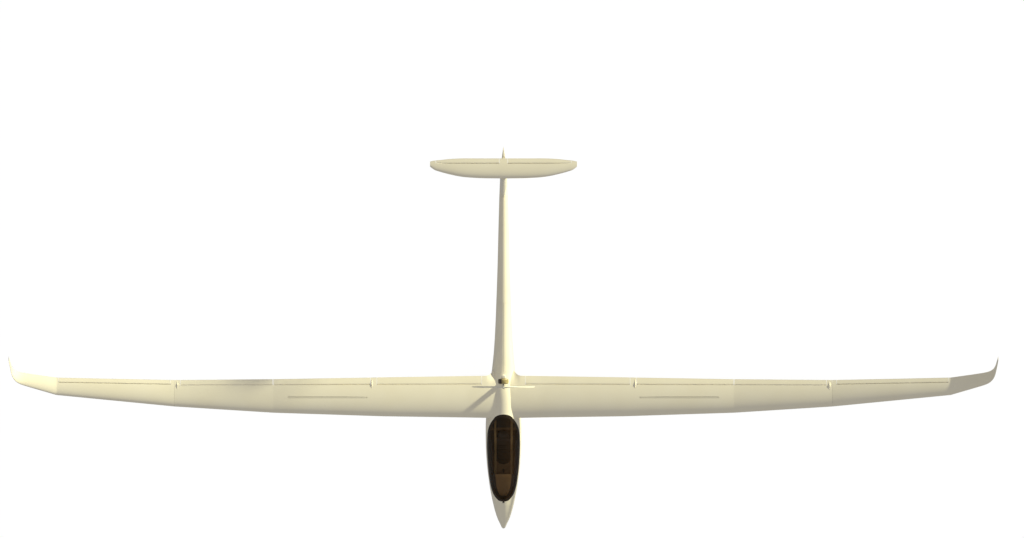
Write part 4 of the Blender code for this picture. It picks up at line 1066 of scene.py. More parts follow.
PEDESTAL = (0.660, 0.900)
pedestal_z = np.array([-0.205, -0.10, 0.0, 0.12])
PEDESTAL_HALF = (0.072, 0.118)  # half width, half length
round_x, round_y = rounded(full_turn(40), 0.4)
pedestal_grid = grid_of(PEDESTAL_HALF[0] * round_x, 0.5 * sum(PEDESTAL) + PEDESTAL_HALF[1] * round_y,
                        pedestal_z[:, None])
pedestal = closed("instrument_pedestal", pedestal_grid, LEATHER, "airframe")
print("instrument hood faces:", len(hood.data.polygons))

# %% [markdown]
# The dials are shallow turned cups with a pale ring of plain marks. The marks of a dial are one
# mesh of small boxes, since they never move. The stick is a round section along a line: thin in
# its middle, with a thicker grip above and a boot below.

# %% Dials and stick
DIAL_FACE = painted("black_dial_face", "#131314", "#0A0A0B", roughness=0.25, peel=0.001)
DIAL_MARKS = painted("pale_dial_marks", "#DAD6C6", "#CBC6B4", roughness=0.5, peel=0.001)
# across, height, radius of each dial
DIALS = ((-0.075, 0.255, 0.040), (0.075, 0.255, 0.040), (0.0, 0.262, 0.030), (-0.110, 0.165, 0.028),
         (0.110, 0.165, 0.028), (0.0, 0.170, 0.040))
MARKS = 12
MARK_HALF_WIDTH = 0.0012
# a mark's corners: share of the dial's radius, side; and the faces of a box by its corners
MARK_CORNERS = ((0.62, -1.0), (0.80, -1.0), (0.80, 1.0), (0.62, 1.0))
BOX_FACES = np.array(((3, 2, 1, 0), (4, 5, 6, 7), (0, 1, 5, 4),
                      (1, 2, 6, 5), (2, 3, 7, 6), (3, 0, 4, 7)))
for number, (x, z, radius) in enumerate(DIALS):
    profile = [(0.001, 0.0005), (0.001, 0.86 * radius), (0.006, 0.92 * radius), (0.006, radius),
               (-0.004, radius), (-0.004, 0.0005)]
    face = turned(f"dial_face_{number}", profile, (x, PANEL_STATION, z), "y", DIAL_FACE, "airframe", 40)
    turn = full_turn(MARKS)
    spoke = grid_of(np.cos(turn), 0.0, np.sin(turn))
    side = grid_of(-np.sin(turn), 0.0, np.cos(turn))
    base = np.array([x, PANEL_STATION + 0.0012, z])
    corners = np.stack([base + share * radius * spoke + way * MARK_HALF_WIDTH * side
                        for share, way in MARK_CORNERS], axis=1)
    boxes = np.concatenate([corners, corners + np.array([0.0, 0.0010, 0.0])], axis=1)
    faces = np.arange(MARKS)[:, None, None] * 8 + BOX_FACES
    marks = link(f"dial_marks_{number}", mesh_of(f"dial_marks_{number}", boxes, faces), DIAL_MARKS,
                 "airframe", True)

STICK_FOOT = np.array([0.0, 1.060, -0.1187])
STICK_TOP = np.array([0.0, 1.030, 0.150])
# share of the stick's length, radius
STICK = np.array(((0.0, 0.020), (0.06, 0.019), (0.10, 0.008), (0.56, 0.008), (0.60, 0.014),
                  (0.70, 0.0155), (0.80, 0.0135), (0.90, 0.0155), (0.97, 0.014), (1.0, 0.008)))
way = STICK_TOP - STICK_FOOT
angle = full_turn(24)
share = np.linspace(0.0, 1.0, 60)
(radius,) = smooth_columns(STICK, share)
stick_grid = (STICK_FOOT + share[:, None, None] * way
              + radius[:, None, None] * grid_of(np.cos(angle), np.sin(angle), 0.0))
stick = closed("control_stick_grip", stick_grid, LEATHER, "airframe")
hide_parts("control_stick")
print("stick's length, m:", round(float(np.linalg.norm(way)), 3))

# %% [markdown]
# Wing sections. A section is a middle line with a slight rise, and a thickness laid off on both
# sides by a classic four-digit formula. One function gives every section of wing, fin and
# tailplane: from the upper lip at the hinge forward round the leading edge to the lower lip, and
# then either on round the trailing edge, or back through a hollow cove in which a flap's round
# nose turns. A second function gives the flap itself: a round nose about the hinge, then the
# same upper and lower surfaces to the same trailing edge, so that the two halves match.

# %% Wing sections
EDGE = 0.0015  # least half thickness, so that a trailing edge isn't a knife's
COVE = 0.004  # gap between a flap's round nose and its cove
UPPER_GAP = 0.012
LOWER_GAP = 0.005


def half_thickness(share):
    """Half thickness along the chord as a share of the full thickness, from the four-digit series."""
    return 5.0 * (0.2969 * np.sqrt(share) - 0.1260 * share - 0.3516 * share ** 2 + 0.2843 * share ** 3
                  - 0.1015 * share ** 4)


def surface(shares, chord, thickness, camber, way):
    """Offset of the upper (way 1) or lower (way -1) surface from the chord line."""
    rise = camber * chord * 4.0 * shares * (1.0 - shares)
    return rise + way * np.maximum(thickness * half_thickness(shares), np.where(shares > 0.0, EDGE, 0.0))


def about_hinge(lead, trail, thickness, hinge, camber):
    """A section's chord, the hinge's share of it, and the radius and the offset of the hinge's axis."""
    chord = trail - lead
    at_hinge = (hinge - lead) / chord
    rise = camber * chord * 4.0 * at_hinge * (1.0 - at_hinge)
    return chord, at_hinge, thickness * half_thickness(at_hinge), rise


def section(lead, trail, thickness, hinge, cut, camber, lips, slot=(0.44, 0.48)):
    """Rows of (chordwise place, offset) points. Cut rows end in a cove about the hinge."""
    lead, trail, thickness, hinge, cut = (value[:, None]
                                          for value in (lead, trail, thickness, hinge, cut))
    slot = [np.broadcast_to(np.reshape(value, (-1, 1)), lead.shape) for value in slot]
    chord, at_hinge, radius, axis = about_hinge(lead, trail, thickness, hinge, camber)
    upper_lip = (hinge - lips[0] * radius - UPPER_GAP - lead) / chord
    lower_lip = (hinge - lips[1] * radius - LOWER_GAP - lead) / chord
    upper = np.concatenate([np.linspace(0, 1, 8) * (slot[1] - upper_lip) + upper_lip,
                            slot[0] * np.linspace(1, 0, 18) ** 2], axis=1)
    lower = lower_lip * np.linspace(0, 1, 24)[1:] ** 2
    aft_lower = lower_lip + (1.0 - lower_lip) * np.linspace(0, 1, 8)[1:]
    aft_upper = upper_lip + (1.0 - upper_lip) * np.linspace(1, 0, 8)[:-1]
    start = np.arccos(np.clip(-(lips[1] * radius + LOWER_GAP) / (radius + COVE), -1, 1))
    end = np.arccos(np.clip(-(lips[0] * radius + UPPER_GAP) / (radius + COVE), -1, 1))
    turn = np.linspace(0, 1, 14)
    angle = (2.0 * np.pi - start) * (1.0 - turn) + end * turn
    cove_y = at_hinge + (radius + COVE) * np.cos(angle) / chord
    cove_n = axis + (radius + COVE) * np.sin(angle)
    whole_y = np.concatenate([aft_lower, aft_upper], axis=1)
    whole_n = np.concatenate([surface(aft_lower, chord, thickness, camber, -1),
                              surface(aft_upper, chord, thickness, camber, 1)], axis=1)
    shares = np.concatenate([upper, lower, np.where(cut > 0.5, cove_y, whole_y)], axis=1)
    offsets = np.concatenate([surface(upper, chord, thickness, camber, 1),
                              surface(lower, chord, thickness, camber, -1),
                              np.where(cut > 0.5, cove_n, whole_n)], axis=1)
    return lead + shares * chord, offsets


def vane_section(lead, trail, thickness, hinge, camber):
    """Rows of (chordwise place, offset) points of a control surface about its hinge."""
    lead, trail, thickness, hinge = (value[:, None] for value in (lead, trail, thickness, hinge))
    chord, at_hinge, radius, axis = about_hinge(lead, trail, thickness, hinge, camber)
    angle = np.linspace(0.5 * np.pi, 1.5 * np.pi, 15)
    nose_y = at_hinge + radius * np.cos(angle) / chord
    nose_n = axis + radius * np.sin(angle)
    aft = at_hinge + (1.0 - at_hinge) * np.linspace(0, 1, 10)[1:]
    lower = surface(aft, chord, thickness, camber, -1)
    upper = surface(aft[:, ::-1], chord, thickness, camber, 1)
    shares = np.concatenate([nose_y, aft, aft[:, ::-1]], axis=1)
    return lead + shares * chord, np.concatenate([nose_n, lower, upper], axis=1)


print("a section is thickest at", half_thickness(np.linspace(0.0, 1.0, 101)).argmax(),
      "percent of its chord")

# %% [markdown]
# The wing's plan comes from a table down the span. The last rows turn up into the winglet, so
# the table is read along the length of the bent line and not along x. A moving average rounds
# the bends: by 10 mm where the panels meet at a crease that the low light picks out, and by
# 150 mm in the curve up to the winglet. At the root the rear of the section is drawn aft and
# down on to the fuselage, which gives the fillet. On the rib outboard of the inner and the outer
# flap stands a low streamlined ridge over the lever that drives it.

# %% Wing plan
CAMBER = 0.02
# span position, leading edge, trailing edge, height, thickness, cant in degrees
WING = np.array((
    (0.080, 2.007, 2.783, 0.497, 0.104, 0.0),
    (0.664, 2.018, 2.773, 0.511, 0.100, 2.0),
    (2.180, 2.040, 2.749, 0.566, 0.090, 2.0),
    (4.190, 2.105, 2.715, 0.632, 0.074, 2.5),
    (5.980, 2.218, 2.700, 0.762, 0.058, 5.0),
    (7.300, 2.346, 2.726, 0.906, 0.046, 6.0),
    (8.130, 2.427, 2.745, 0.996, 0.038, 12.0),
    (8.610, 2.566, 2.812, 1.148, 0.029, 21.0),
    (8.830, 2.632, 2.848, 1.236, 0.025, 35.0),
    (8.905, 2.672, 2.872, 1.300, 0.022, 64.0),
    (8.930, 2.740, 2.908, 1.372, 0.018, 80.0),
    (8.968, 2.905, 3.030, 1.570, 0.014, 82.0),
    (8.996, 3.052, 3.127, 1.745, 0.010, 82.0),
))
RUN = np.concatenate([[0.0], np.cumsum(np.hypot(np.diff(WING[:, 0]), np.diff(WING[:, 3])))])
WING_JOINT = 5.985
# name, span from, span to, hinge station at each end
WING_SURFACES = (
    ("flap_inner", 0.400, 2.300, 2.636, 2.630),
    ("flap_middle", 2.420, 4.179, 2.630, 2.623),
    ("flap_outer", 4.201, 5.870, 2.623, 2.616),
    ("aileron", 6.060, 8.090, 2.632, 2.668),
)
SURFACE_GAP = 0.005
AIRBRAKE_SPAN = (2.481, 3.919)
AIRBRAKE_SLOT = (2.372, 2.400)
SLOT_COLUMN = 7
FLAP_LIPS = (0.21, 0.65)
AILERON_LIPS = (0.36, 0.36)
CREASES = (4.190, 5.980, 8.130)
CREASE_WINDOW = 0.010
TIP_WINDOW = 0.150
TIP_BEND = (8.25, 8.55)
AILERON_HINGE = 0.757  # share of the chord, outboard of the ailerons


def wing_at(run):
    """Columns of the wing table along its length, as a moving average that is wider near the tip."""
    window = np.interp(run, np.interp(TIP_BEND, WING[:, 0], RUN), (CREASE_WINDOW, TIP_WINDOW))
    window = np.minimum(window, np.minimum(run, RUN[-1] - run))
    offsets = np.linspace(-1.0, 1.0, 13)[:, None]
    places = run + window * offsets
    return [column.mean(axis=0) for column in straight_columns(np.column_stack([RUN, WING]), places)]


def hinge_at(x, lead, trail):
    """Hinge station: straight lines between the surfaces' ends, then a fixed share of the chord."""
    ends = np.array([(x0, hinge0, x1, hinge1) for _, x0, x1, hinge0, hinge1 in WING_SURFACES])
    ends = ends.reshape(-1, 2)
    straight = np.interp(x, ends[:, 0], ends[:, 1])
    return np.where(x > ends[-1, 0], lead + AILERON_HINGE * (trail - lead), straight)


def panel_runs(start, end, bays, extra=(), step=0.05):
    """Places along the wing from start to end, with every bay's ends twice: once whole, once cut."""
    marks = sorted({start, end, *[x for bay in bays for x in bay], *extra})
    places, cut = [], []
    for low, high in zip(marks[:-1], marks[1:]):
        count = max(2, int(np.ceil((high - low) / step)) + 1)
        places.append(np.linspace(low, high, count))
        middle = 0.5 * (low + high)
        cut.append(np.full(count, any(x0 < middle < x1 for x0, x1 in bays), float))
    return np.concatenate(places), np.concatenate(cut)


def run_of(x):
    """Length along the wing at a span position."""
    return float(np.interp(x, WING[:, 0], RUN))


def on_wing(side, x, height, cant, chordwise, offset):
    """Lays section points out in space: chordwise along y, offset along the canted normal."""
    lean = np.radians(cant)[:, None]
    return grid_of(side * (x[:, None] - offset * np.sin(lean)), chordwise,
                   height[:, None] + offset * np.cos(lean))


print("wing's length along its curve, m:", round(float(RUN[-1]), 3))

# %% [markdown]
# Where the wing meets the fuselage, its rear edge sweeps aft and down in a fillet, which keeps the
# air from tearing off in the corner. The front starts just under the fuselage's skin, so that
# nothing of the wing shows inside the cockpit.

# %% Wing root
# span position, how far the rear edge runs aft, how far it drops
FILLET = np.array((
    (0.080, 0.130, 0.150), (0.150, 0.112, 0.120), (0.190, 0.082, 0.085), (0.225, 0.045, 0.045),
    (0.260, 0.018, 0.018), (0.290, 0.004, 0.004), (0.316, 0.0, 0.0),
))
FILLET_START = 0.5


def root_fillet(grid, x, lead, trail):
    """Draws the rear of the section aft in proportion to its share, and down with the share's cube."""
    near = np.clip(x, FILLET[0, 0], FILLET[-1, 0])
    aft, fall = (column[:, None] for column in smooth_columns(FILLET, near))
    share = (grid[:, :, 1] - lead[:, None]) / (trail - lead)[:, None]
    pull = np.clip(share - FILLET_START, 0.0, None) / (1.0 - FILLET_START)
    return grid + np.stack([np.zeros_like(pull), pull * aft, -pull ** 3 * fall], axis=-1)


def outside_cockpit(grid, side):
    """Starts the root's front just under the skin, and its rear at the table's first row."""
    start, end = WING[0, 0], FILLET[-1, 0]
    x, station, height = side * grid[..., 0], grid[..., 1], grid[..., 2]
    under_skin = hull_side(station, height, 0.012) - start
    start = start + np.interp(station, (SHELF_BACK + 0.04, SHELF_BACK + 0.18), (1.0, 0.0)) * under_skin
    moved = start + (x - WING[0, 0]) * (end - start) / (end - WING[0, 0])
    return np.stack([side * np.where(x < end, moved, x), station, height], axis=-1)


def wing_panel(name, side, start, end, surfaces, lips):
    """A wing panel with bays for its control surfaces, as one closed skin."""
    bays = [(run_of(x0 - SURFACE_GAP), run_of(x1 + SURFACE_GAP)) for _, x0, x1, _, _ in surfaces]
    brake_ends = [run_of(x) for x in AIRBRAKE_SPAN]
    bends = [run_of(x) + step for x in CREASES for step in (-CREASE_WINDOW, 0.0, CREASE_WINDOW)]
    near_root = map(run_of, np.linspace(FILLET[0, 0], FILLET[-1, 0], 19))
    extra = [place for place in (*brake_ends, *bends, *near_root) if start < place < end]
    runs, cut = panel_runs(start, end, bays, extra)
    x, lead, trail, height, thickness, cant = wing_at(runs)
    slot = [np.clip((station - lead) / (trail - lead), 0.3, 0.5) for station in AIRBRAKE_SLOT]
    y, n = section(lead, trail, thickness, hinge_at(x, lead, trail), cut, CAMBER, lips, slot)
    grid = outside_cockpit(root_fillet(on_wing(side, x, height, cant, y, n), x, lead, trail), side)
    middle_x = 0.5 * (x[1:] + x[:-1])
    in_slot = (middle_x > AIRBRAKE_SPAN[0]) & (middle_x < AIRBRAKE_SPAN[1]) & (start < brake_ends[0])
    left_out = np.zeros((len(x) - 1, grid.shape[1]), bool)
    left_out[:, SLOT_COLUMN] = in_slot
    made = closed(name, grid, GELCOAT, "airframe", left_out=left_out)
    return made, grid[(x >= AIRBRAKE_SPAN[0] - 1e-6) & (x <= AIRBRAKE_SPAN[1] + 1e-6)]


print("the fillet ends at, m from the middle:", float(FILLET[-1, 0]))

# %% [markdown]
# Now both wings are made: on each side an inner and an outer panel, the airbrake's pocket, and the
# flaps and the aileron, which are sections about the same hinge line.

# %% Wing panels and control surfaces
SLOT_DEPTH = 0.058
for side, suffix in SIDES:
    inner, slot_rows = wing_panel(f"wing_inner_{suffix}_skin", side, 0.0, run_of(WING_JOINT),
                                  WING_SURFACES[:3], FLAP_LIPS)
    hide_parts(f"wing_inner_{suffix}")
    outer, _ = wing_panel(f"wing_outer_{suffix}_skin", side, run_of(WING_JOINT) + 0.002, RUN[-1],
                          WING_SURFACES[3:], AILERON_LIPS)
    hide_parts(f"wing_outer_{suffix}")
    back, front = slot_rows[:, SLOT_COLUMN], slot_rows[:, SLOT_COLUMN + 1]
    down = np.array([0.0, 0.0, -SLOT_DEPTH])
    pocket = sheet(f"airbrake_box_{suffix}", np.stack([back, back + down, front + down, front], axis=1),
                   GELCOAT, "airframe")
    thicken(pocket, 0.0015, offset=0.0)
    for name, x0, x1, _, _ in WING_SURFACES:
        runs = np.linspace(run_of(x0), run_of(x1), 40)
        x, lead, trail, height, thickness, cant = wing_at(runs)
        y, n = vane_section(lead, trail, thickness, hinge_at(x, lead, trail), CAMBER)
        vane = closed(f"{name}_{suffix}_skin", on_wing(side, x, height, cant, y, n), GELCOAT,
                      f"{name}_{suffix}")
        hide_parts(f"{name}_{suffix}")
    print(suffix, "wing panel faces:", len(inner.data.polygons), len(outer.data.polygons))

# %% [markdown]
# Trim on the wings: the ridges over the flap drives, and under each tip a replaceable nylon skid.
# The aircraft rests on the left one.

# %% Drive ridges and tip skids
def wing_top(x, station):
    """The wing's upper skin at a span position and a station: (x, station, height)."""
    _, lead, trail, height, thickness, cant = wing_at(np.interp(x, WING[:, 0], RUN))
    share = (station - lead) / (trail - lead)
    rise = surface(share, trail - lead, thickness, CAMBER, 1) * np.cos(np.radians(cant))
    return grid_of(x, station, height + rise)


# span position, front, crest and back of each ridge
DRIVES = ((2.397, 2.540, 2.632, 2.735), (5.930, 2.520, 2.618, 2.688))
DRIVE_HALF_WIDTH = 0.013
DRIVE_HEIGHT = 0.014
SKID = (8.130, 2.560)
SKID_HALF = (0.019, 0.059)
# height under the wing's middle, share of the plan
SKID_LEVELS = np.array(((0.012, 1.00), (-0.012, 0.98), (-0.030, 0.95), (-0.039, 0.90), (-0.043, 0.82),
                        (-0.045, 0.70)))
NYLON = painted("white_nylon_skid", "#E9E4D4", "#C9C3B2", roughness=0.55)
angle = full_turn(28)
for side, suffix in SIDES:
    for number, (place, front, crest, back) in enumerate(DRIVES):
        stations = eased(32, front, back)
        shape = np.interp(stations, (front, crest, back), (0.0, 1.0, 0.0))
        shape = np.clip(shape, 0.02, 1.0)[:, None]
        base = wing_top(np.full_like(stations, place), stations)
        up = np.where(np.sin(angle) > 0.0, DRIVE_HEIGHT * np.sin(angle), 0.004 * np.sin(angle))
        ridge = grid_of(side * (place + DRIVE_HALF_WIDTH * shape * np.cos(angle)), stations[:, None],
                        base[:, 2:] + shape * up)
        drive = closed(f"flap_drive_{suffix}_{number}", ridge, GELCOAT, "airframe")
    _, lead, trail, height, thickness, _ = wing_at(np.array([run_of(SKID[0])]))
    under = float(height[0]) - 0.5 * float(thickness[0])
    # the skid's plan is a superellipse, and it narrows a little downwards to a rounded edge
    plan = np.array(SKID_HALF) * np.stack(rounded(angle, 0.5), axis=1)
    skid_grid = grid_of(side * SKID[0] + plan[:, 0] * SKID_LEVELS[:, 1:],
                        SKID[1] + plan[:, 1] * SKID_LEVELS[:, 1:], under + SKID_LEVELS[:, :1])
    skid = closed(f"tip_skid_{suffix}", skid_grid, NYLON, "airframe")
lowest = to_world(skid_grid * MIRROR)[..., 2].min()
print("left skid's lowest point:", np.round(lowest, 4))

# %% [markdown]
# Airbrakes. Each is a thin blade that rises out of its slot, with a cap that lies flush with the
# wing's skin when it is down. The blade is drilled with a row of holes, which cuts the weight
# and calms the air behind it.

# %% Airbrakes
CAP_HALF = 0.009
BLADE_HALF = 0.002
CAP_DEPTH = 0.006
BLADE_DEPTH = 0.056
AIRBRAKE_STATION = 2.386
HOLES = 24
HOLE_RADIUS = 0.013
AROUND = 24


def drilled_plate(middles, half_pitch, low, high, radius):
    """A row of holes: each cell's square outline and its hole are rings with as many points."""
    turn = full_turn(AROUND) + 0.25 * np.pi
    circle = np.stack([np.cos(turn), np.sin(turn)], axis=1)
    box = circle / np.abs(circle).max(axis=1)[:, None]
    centre = 0.5 * (low + high)
    outline = box * np.array([half_pitch, 0.5 * (high - low)]) + np.array([0.0, centre])
    hole = circle * radius + np.array([0.0, centre])
    shift = np.stack([middles, np.zeros_like(middles)], axis=1)[:, None, None]
    return np.stack([outline, hole]) + shift


for side, suffix in SIDES:
    x = np.linspace(AIRBRAKE_SPAN[0] + 0.006, AIRBRAKE_SPAN[1] - 0.006, 60)
    top = wing_top(x, np.full_like(x, AIRBRAKE_STATION))[:, 2] - HAIR
    profile = np.array(((-1.0, 0.0), (1.0, 0.0), (1.0, -1.0), (-1.0, -1.0))) * (CAP_HALF, CAP_DEPTH)
    grid = grid_of(side * x[:, None], AIRBRAKE_STATION + profile[:, 0], top[:, None] + profile[:, 1])
    cap = closed(f"airbrake_{suffix}_cap", grid, GELCOAT, f"airbrake_{suffix}")
    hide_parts(f"airbrake_{suffix}")
    half_pitch = 0.5 * (x[-1] - x[0]) / HOLES
    middles = x[0] + half_pitch * (2.0 * np.arange(HOLES) + 1.0)
    rings = drilled_plate(middles, half_pitch, -BLADE_DEPTH, -CAP_DEPTH + 0.001, HOLE_RADIUS)
    skin_top = np.interp(rings[..., 0], x, top)
    flat = grid_of(side * rings[..., 0], AIRBRAKE_STATION, skin_top + rings[..., 1])
    first = np.arange(HOLES)[:, None] * 2 * AROUND
    corner = first + np.arange(AROUND)
    after = first + (np.arange(AROUND) + 1) % AROUND
    faces = np.stack([corner, after, after + AROUND, corner + AROUND], axis=-1)
    blade = link(f"airbrake_{suffix}_blade", mesh_of("airbrake_blade", flat, faces), CAST,
                 f"airbrake_{suffix}", False)
    thicken(blade, 2.0 * BLADE_HALF, offset=0.0)
print("holes in each airbrake:", HOLES)

# %% [markdown]
# Tail. The fin grows out of the boom, the rudder closes its back edge, and the tailplane lies on
# top of the fin as a T. They use the same sections as the wing, without the rise.

# %% Fin and rudder
# height, leading edge, hinge station, trailing edge, thickness
FIN = np.array((
    (0.300, 5.975, 6.610, 6.870, 0.112),
    (0.440, 6.028, 6.622, 6.884, 0.112),
    (0.900, 6.156, 6.664, 6.905, 0.106),
    (1.505, 6.325, 6.719, 6.935, 0.095),
))
FIN_ROOT = 0.350
FIN_TOP = 1.5195
RUDDER_LIPS = (0.50, 0.50)
RUDDER_CAP = (1.552, 6.755)


z = np.linspace(FIN_ROOT, FIN_TOP, 50)
lead, hinge, trail, thickness = straight_columns(FIN, z)
y, n = section(lead, trail, thickness, hinge, np.ones_like(z), 0.0, RUDDER_LIPS)
fin = closed("fin_skin", grid_of(n, y, z[:, None]), GELCOAT, "airframe")
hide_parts("fin")

z = np.linspace(FIN[0, 0], FIN[-1, 0], 50)
lead, hinge, trail, thickness = straight_columns(FIN, z)
y, n = vane_section(lead, trail, thickness, hinge, 0.0)
rudder = closed("rudder_skin", grid_of(n, y, z[:, None]), GELCOAT, "rudder")
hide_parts("rudder")

# the rudder's lower bracket on the boom, a rounded plate, with the pin that carries the rudder
BRACKET = (BOOM_END - 0.050, FIN[0, 2], 0.014)  # front, hinge station, half width
LEDGE = FIN[0, 0] - 0.006
turn = np.linspace(0.0, np.pi, 17)
front, hinge, half = BRACKET
plan_x = np.concatenate([[-half, half], half * np.cos(turn)])
plan_y = np.concatenate([[front, front], hinge + half * np.sin(turn)])
# height above the ledge, share of the plan
bevel = np.array(((-0.008, 0.94), (-0.0072, 1.0), (-0.0008, 1.0), (0.0, 0.94)))
share = bevel[:, 1:]
plate = grid_of(plan_x.mean() + (plan_x - plan_x.mean()) * share,
                plan_y.mean() + (plan_y - plan_y.mean()) * share, LEDGE + bevel[:, :1])
bracket = closed("rudder_lower_bracket", plate, STEEL, "airframe")
pin = turned("rudder_lower_pin", [(-0.010, 0.0005), (-0.010, 0.006), (-0.008, 0.006), (-0.008, 0.0038),
                                  (0.0055, 0.0038), (0.0055, 0.0005)],
             (0.0, BRACKET[1], LEDGE), "z", CAST, "airframe", 24)

# the rudder's tip stands up behind the tailplane
TIP_HALF = 0.030
tip_z = np.array([1.44, 1.50, 1.53, 1.545, RUDDER_CAP[0]])
tip_in = np.array([0.0, 0.0, 0.004, 0.012, 0.026])
share = eased(24)
outline_y = np.concatenate([share, share[-2:0:-1]])
outline_x = np.sqrt(share) * (1 - share)
outline_x = np.concatenate([outline_x, -outline_x[-2:0:-1]])
tip_front = RUDDER_CAP[1] + tip_in
tip_back = FIN[-1, 3] - 0.003 - tip_in
tip = grid_of(TIP_HALF * outline_x * (1.0 - (tip_in / 0.04) ** 2)[:, None],
              tip_front[:, None] + (tip_back - tip_front)[:, None] * outline_y, tip_z[:, None])
rudder_tip = closed("rudder_tip", tip, GELCOAT, "rudder")
print("fin's height, m:", round(FIN_TOP - FIN_ROOT, 3))

# %% [markdown]
# The tailplane is one piece across the fin's top, with a bay on each side for a half of the
# elevator. Both halves turn together on one hinge line.

# %% Tailplane and elevators
TAILPLANE_HEIGHT = 1.540
ELEVATOR_SPAN = (0.080, 1.230)
ELEVATOR_LIPS = (0.45, 0.45)
# half span, leading edge, hinge station, trailing edge, thickness
TAILPLANE = np.array((
    (0.000, 6.364, 6.650, 6.729, 0.050),
    (0.500, 6.374, 6.650, 6.729, 0.046),
    (0.760, 6.395, 6.650, 6.729, 0.042),
    (1.010, 6.446, 6.650, 6.716, 0.034),
    (1.150, 6.484, 6.650, 6.700, 0.026),
    (1.270, 6.528, 6.650, 6.688, 0.018),
    (1.336, 6.580, 6.640, 6.672, 0.010),
))
bays = [(ELEVATOR_SPAN[0] - SURFACE_GAP, ELEVATOR_SPAN[1] + SURFACE_GAP)]
x, cut = panel_runs(0.0, TAILPLANE[-1, 0], bays, step=0.04)
x, cut = np.concatenate([-x[::-1], x[1:]]), np.concatenate([cut[::-1], cut[1:]])
lead, hinge, trail, thickness = smooth_columns(TAILPLANE, np.abs(x))
y, n = section(lead, trail, thickness, hinge, cut, 0.0, ELEVATOR_LIPS)
tail_grid = grid_of(x[:, None], y, TAILPLANE_HEIGHT + n)
tailplane = closed("tailplane_skin", tail_grid, GELCOAT, "airframe")
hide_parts("tailplane")
for side, suffix in SIDES:
    x = np.linspace(*ELEVATOR_SPAN, 40)
    lead, hinge, trail, thickness = smooth_columns(TAILPLANE, x)
    y, n = vane_section(lead, trail, thickness, hinge, 0.0)
    tail_grid = grid_of(side * x[:, None], y, TAILPLANE_HEIGHT + n)
    elevator = closed(f"elevator_{suffix}_skin", tail_grid, GELCOAT, "elevator")
    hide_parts(f"elevator_{suffix}")
print("tailplane's span, m:", 2.0 * float(TAILPLANE[-1, 0]))

# %% [markdown]
# Pylon and motor. The pylon is a hollow streamlined mast that leans a little aft. Its motor hangs
# on the front of its top: a barrel of tan enamel with shallow cooling ribs, a dark sheet over the
# side away from the light that is painted shade, a ring of screws in each end, and a short shaft
# to the propeller.

# %% Pylon and motor
# height, station, length and width of the mast's sections
MAST = np.array(((0.400, 2.646, 0.088, 0.096), (1.260, 2.759, 0.084, 0.094)))
MAST_ROUNDING = 0.030
MOTOR_HEIGHT = float(propeller_centre[2])
MOTOR_RADIUS = 0.094
MOTOR_END_RADIUS = 0.062
MOTOR_FRONT = 2.628
MOTOR_BACK = 2.722
MOTOR_STATION = 0.5 * (MOTOR_FRONT + MOTOR_BACK)
top_start = MAST[1, 0] - MAST_ROUNDING
z = np.concatenate([np.linspace(0.42, top_start, 40, endpoint=False),
                    top_start + MAST_ROUNDING * np.sin(np.linspace(0.0, 0.5 * np.pi, 12))])
station, length, width = (column[:, None] for column in straight_columns(MAST, z))
above = np.clip(z - top_start, 0.0, None) / MAST_ROUNDING
shrink = 0.45 + 0.55 * np.sqrt(np.clip(1.0 - above ** 2, 0.0, 1.0))[:, None]
angle = full_turn(56)
mast_grid = grid_of(0.5 * width * shrink * np.cos(angle),
                    station + 0.5 * length * shrink * np.sin(angle), z[:, None])
pylon = closed("pylon_mast", mast_grid, GELCOAT, "airframe")
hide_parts("pylon")

RIB_DEPTH = 0.0025
RIB_PITCH = 0.010
RIB_SHARE = 0.62
along = np.sin(np.linspace(-0.5 * np.pi, 0.5 * np.pi, 61))
barrel = MOTOR_END_RADIUS + (MOTOR_RADIUS - MOTOR_END_RADIUS) * (1.0 - np.abs(along) ** 3) ** (1.0 / 3.0)
places = 0.5 * (MOTOR_BACK - MOTOR_FRONT) * along
in_rib = (np.abs(along) < RIB_SHARE) & (np.sin(2.0 * np.pi * places / RIB_PITCH) < 0.0)
case = np.stack([places, barrel - RIB_DEPTH * in_rib], axis=1)
case = np.concatenate([[(places[0], 0.018)], case, [(places[-1], 0.018)]])
motor_centre = (0.0, MOTOR_STATION, MOTOR_HEIGHT)
motor = turned("motor_case", case, motor_centre, "y", MOTOR_PAINT, "airframe")
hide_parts("motor")

# a dark sheet round the side of the motor that faces away from the light: painted shade
SHADE_TURN = np.radians(np.linspace(112.0, 232.0, 40))
SHADE_LIFT = 0.002
SHADE_SHARE = 0.86
inner = np.abs(along) < SHADE_SHARE
reach = (barrel[inner] + SHADE_LIFT)[:, None]
shade_grid = np.array(motor_centre) + grid_of(reach * np.cos(SHADE_TURN), places[inner][:, None],
                                              reach * np.sin(SHADE_TURN))
shade_sheet = sheet("motor_painted_shade", shade_grid, MOTOR_PAINTED_SHADE, "airframe")
thicken(shade_sheet, 0.006, offset=0.0)
shaft = turned("motor_shaft", [(-0.075, 0.001), (-0.075, 0.015), (0.052, 0.015), (0.056, 0.022),
                               (0.060, 0.022), (0.060, 0.001)],
               motor_centre, "y", CAST, "airframe", 40)
SCREW_RING = 0.052
for number, turn in enumerate(full_turn(8)):
    for label, station, way in (("front", MOTOR_FRONT, -1.0), ("back", MOTOR_BACK, 1.0)):
        spot = (SCREW_RING * math.cos(turn), station, MOTOR_HEIGHT + SCREW_RING * math.sin(turn))
        screw = turned(f"motor_screw_{label}_{number}", [(-0.002 * way, 0.0005), (0.004 * way, 0.0005),
                                                         (0.004 * way, 0.004), (-0.002 * way, 0.005)],
                       spot, "y", BOLT, "airframe", 12)
print("motor's diameter and length, m:", 2.0 * MOTOR_RADIUS, round(MOTOR_BACK - MOTOR_FRONT, 3))

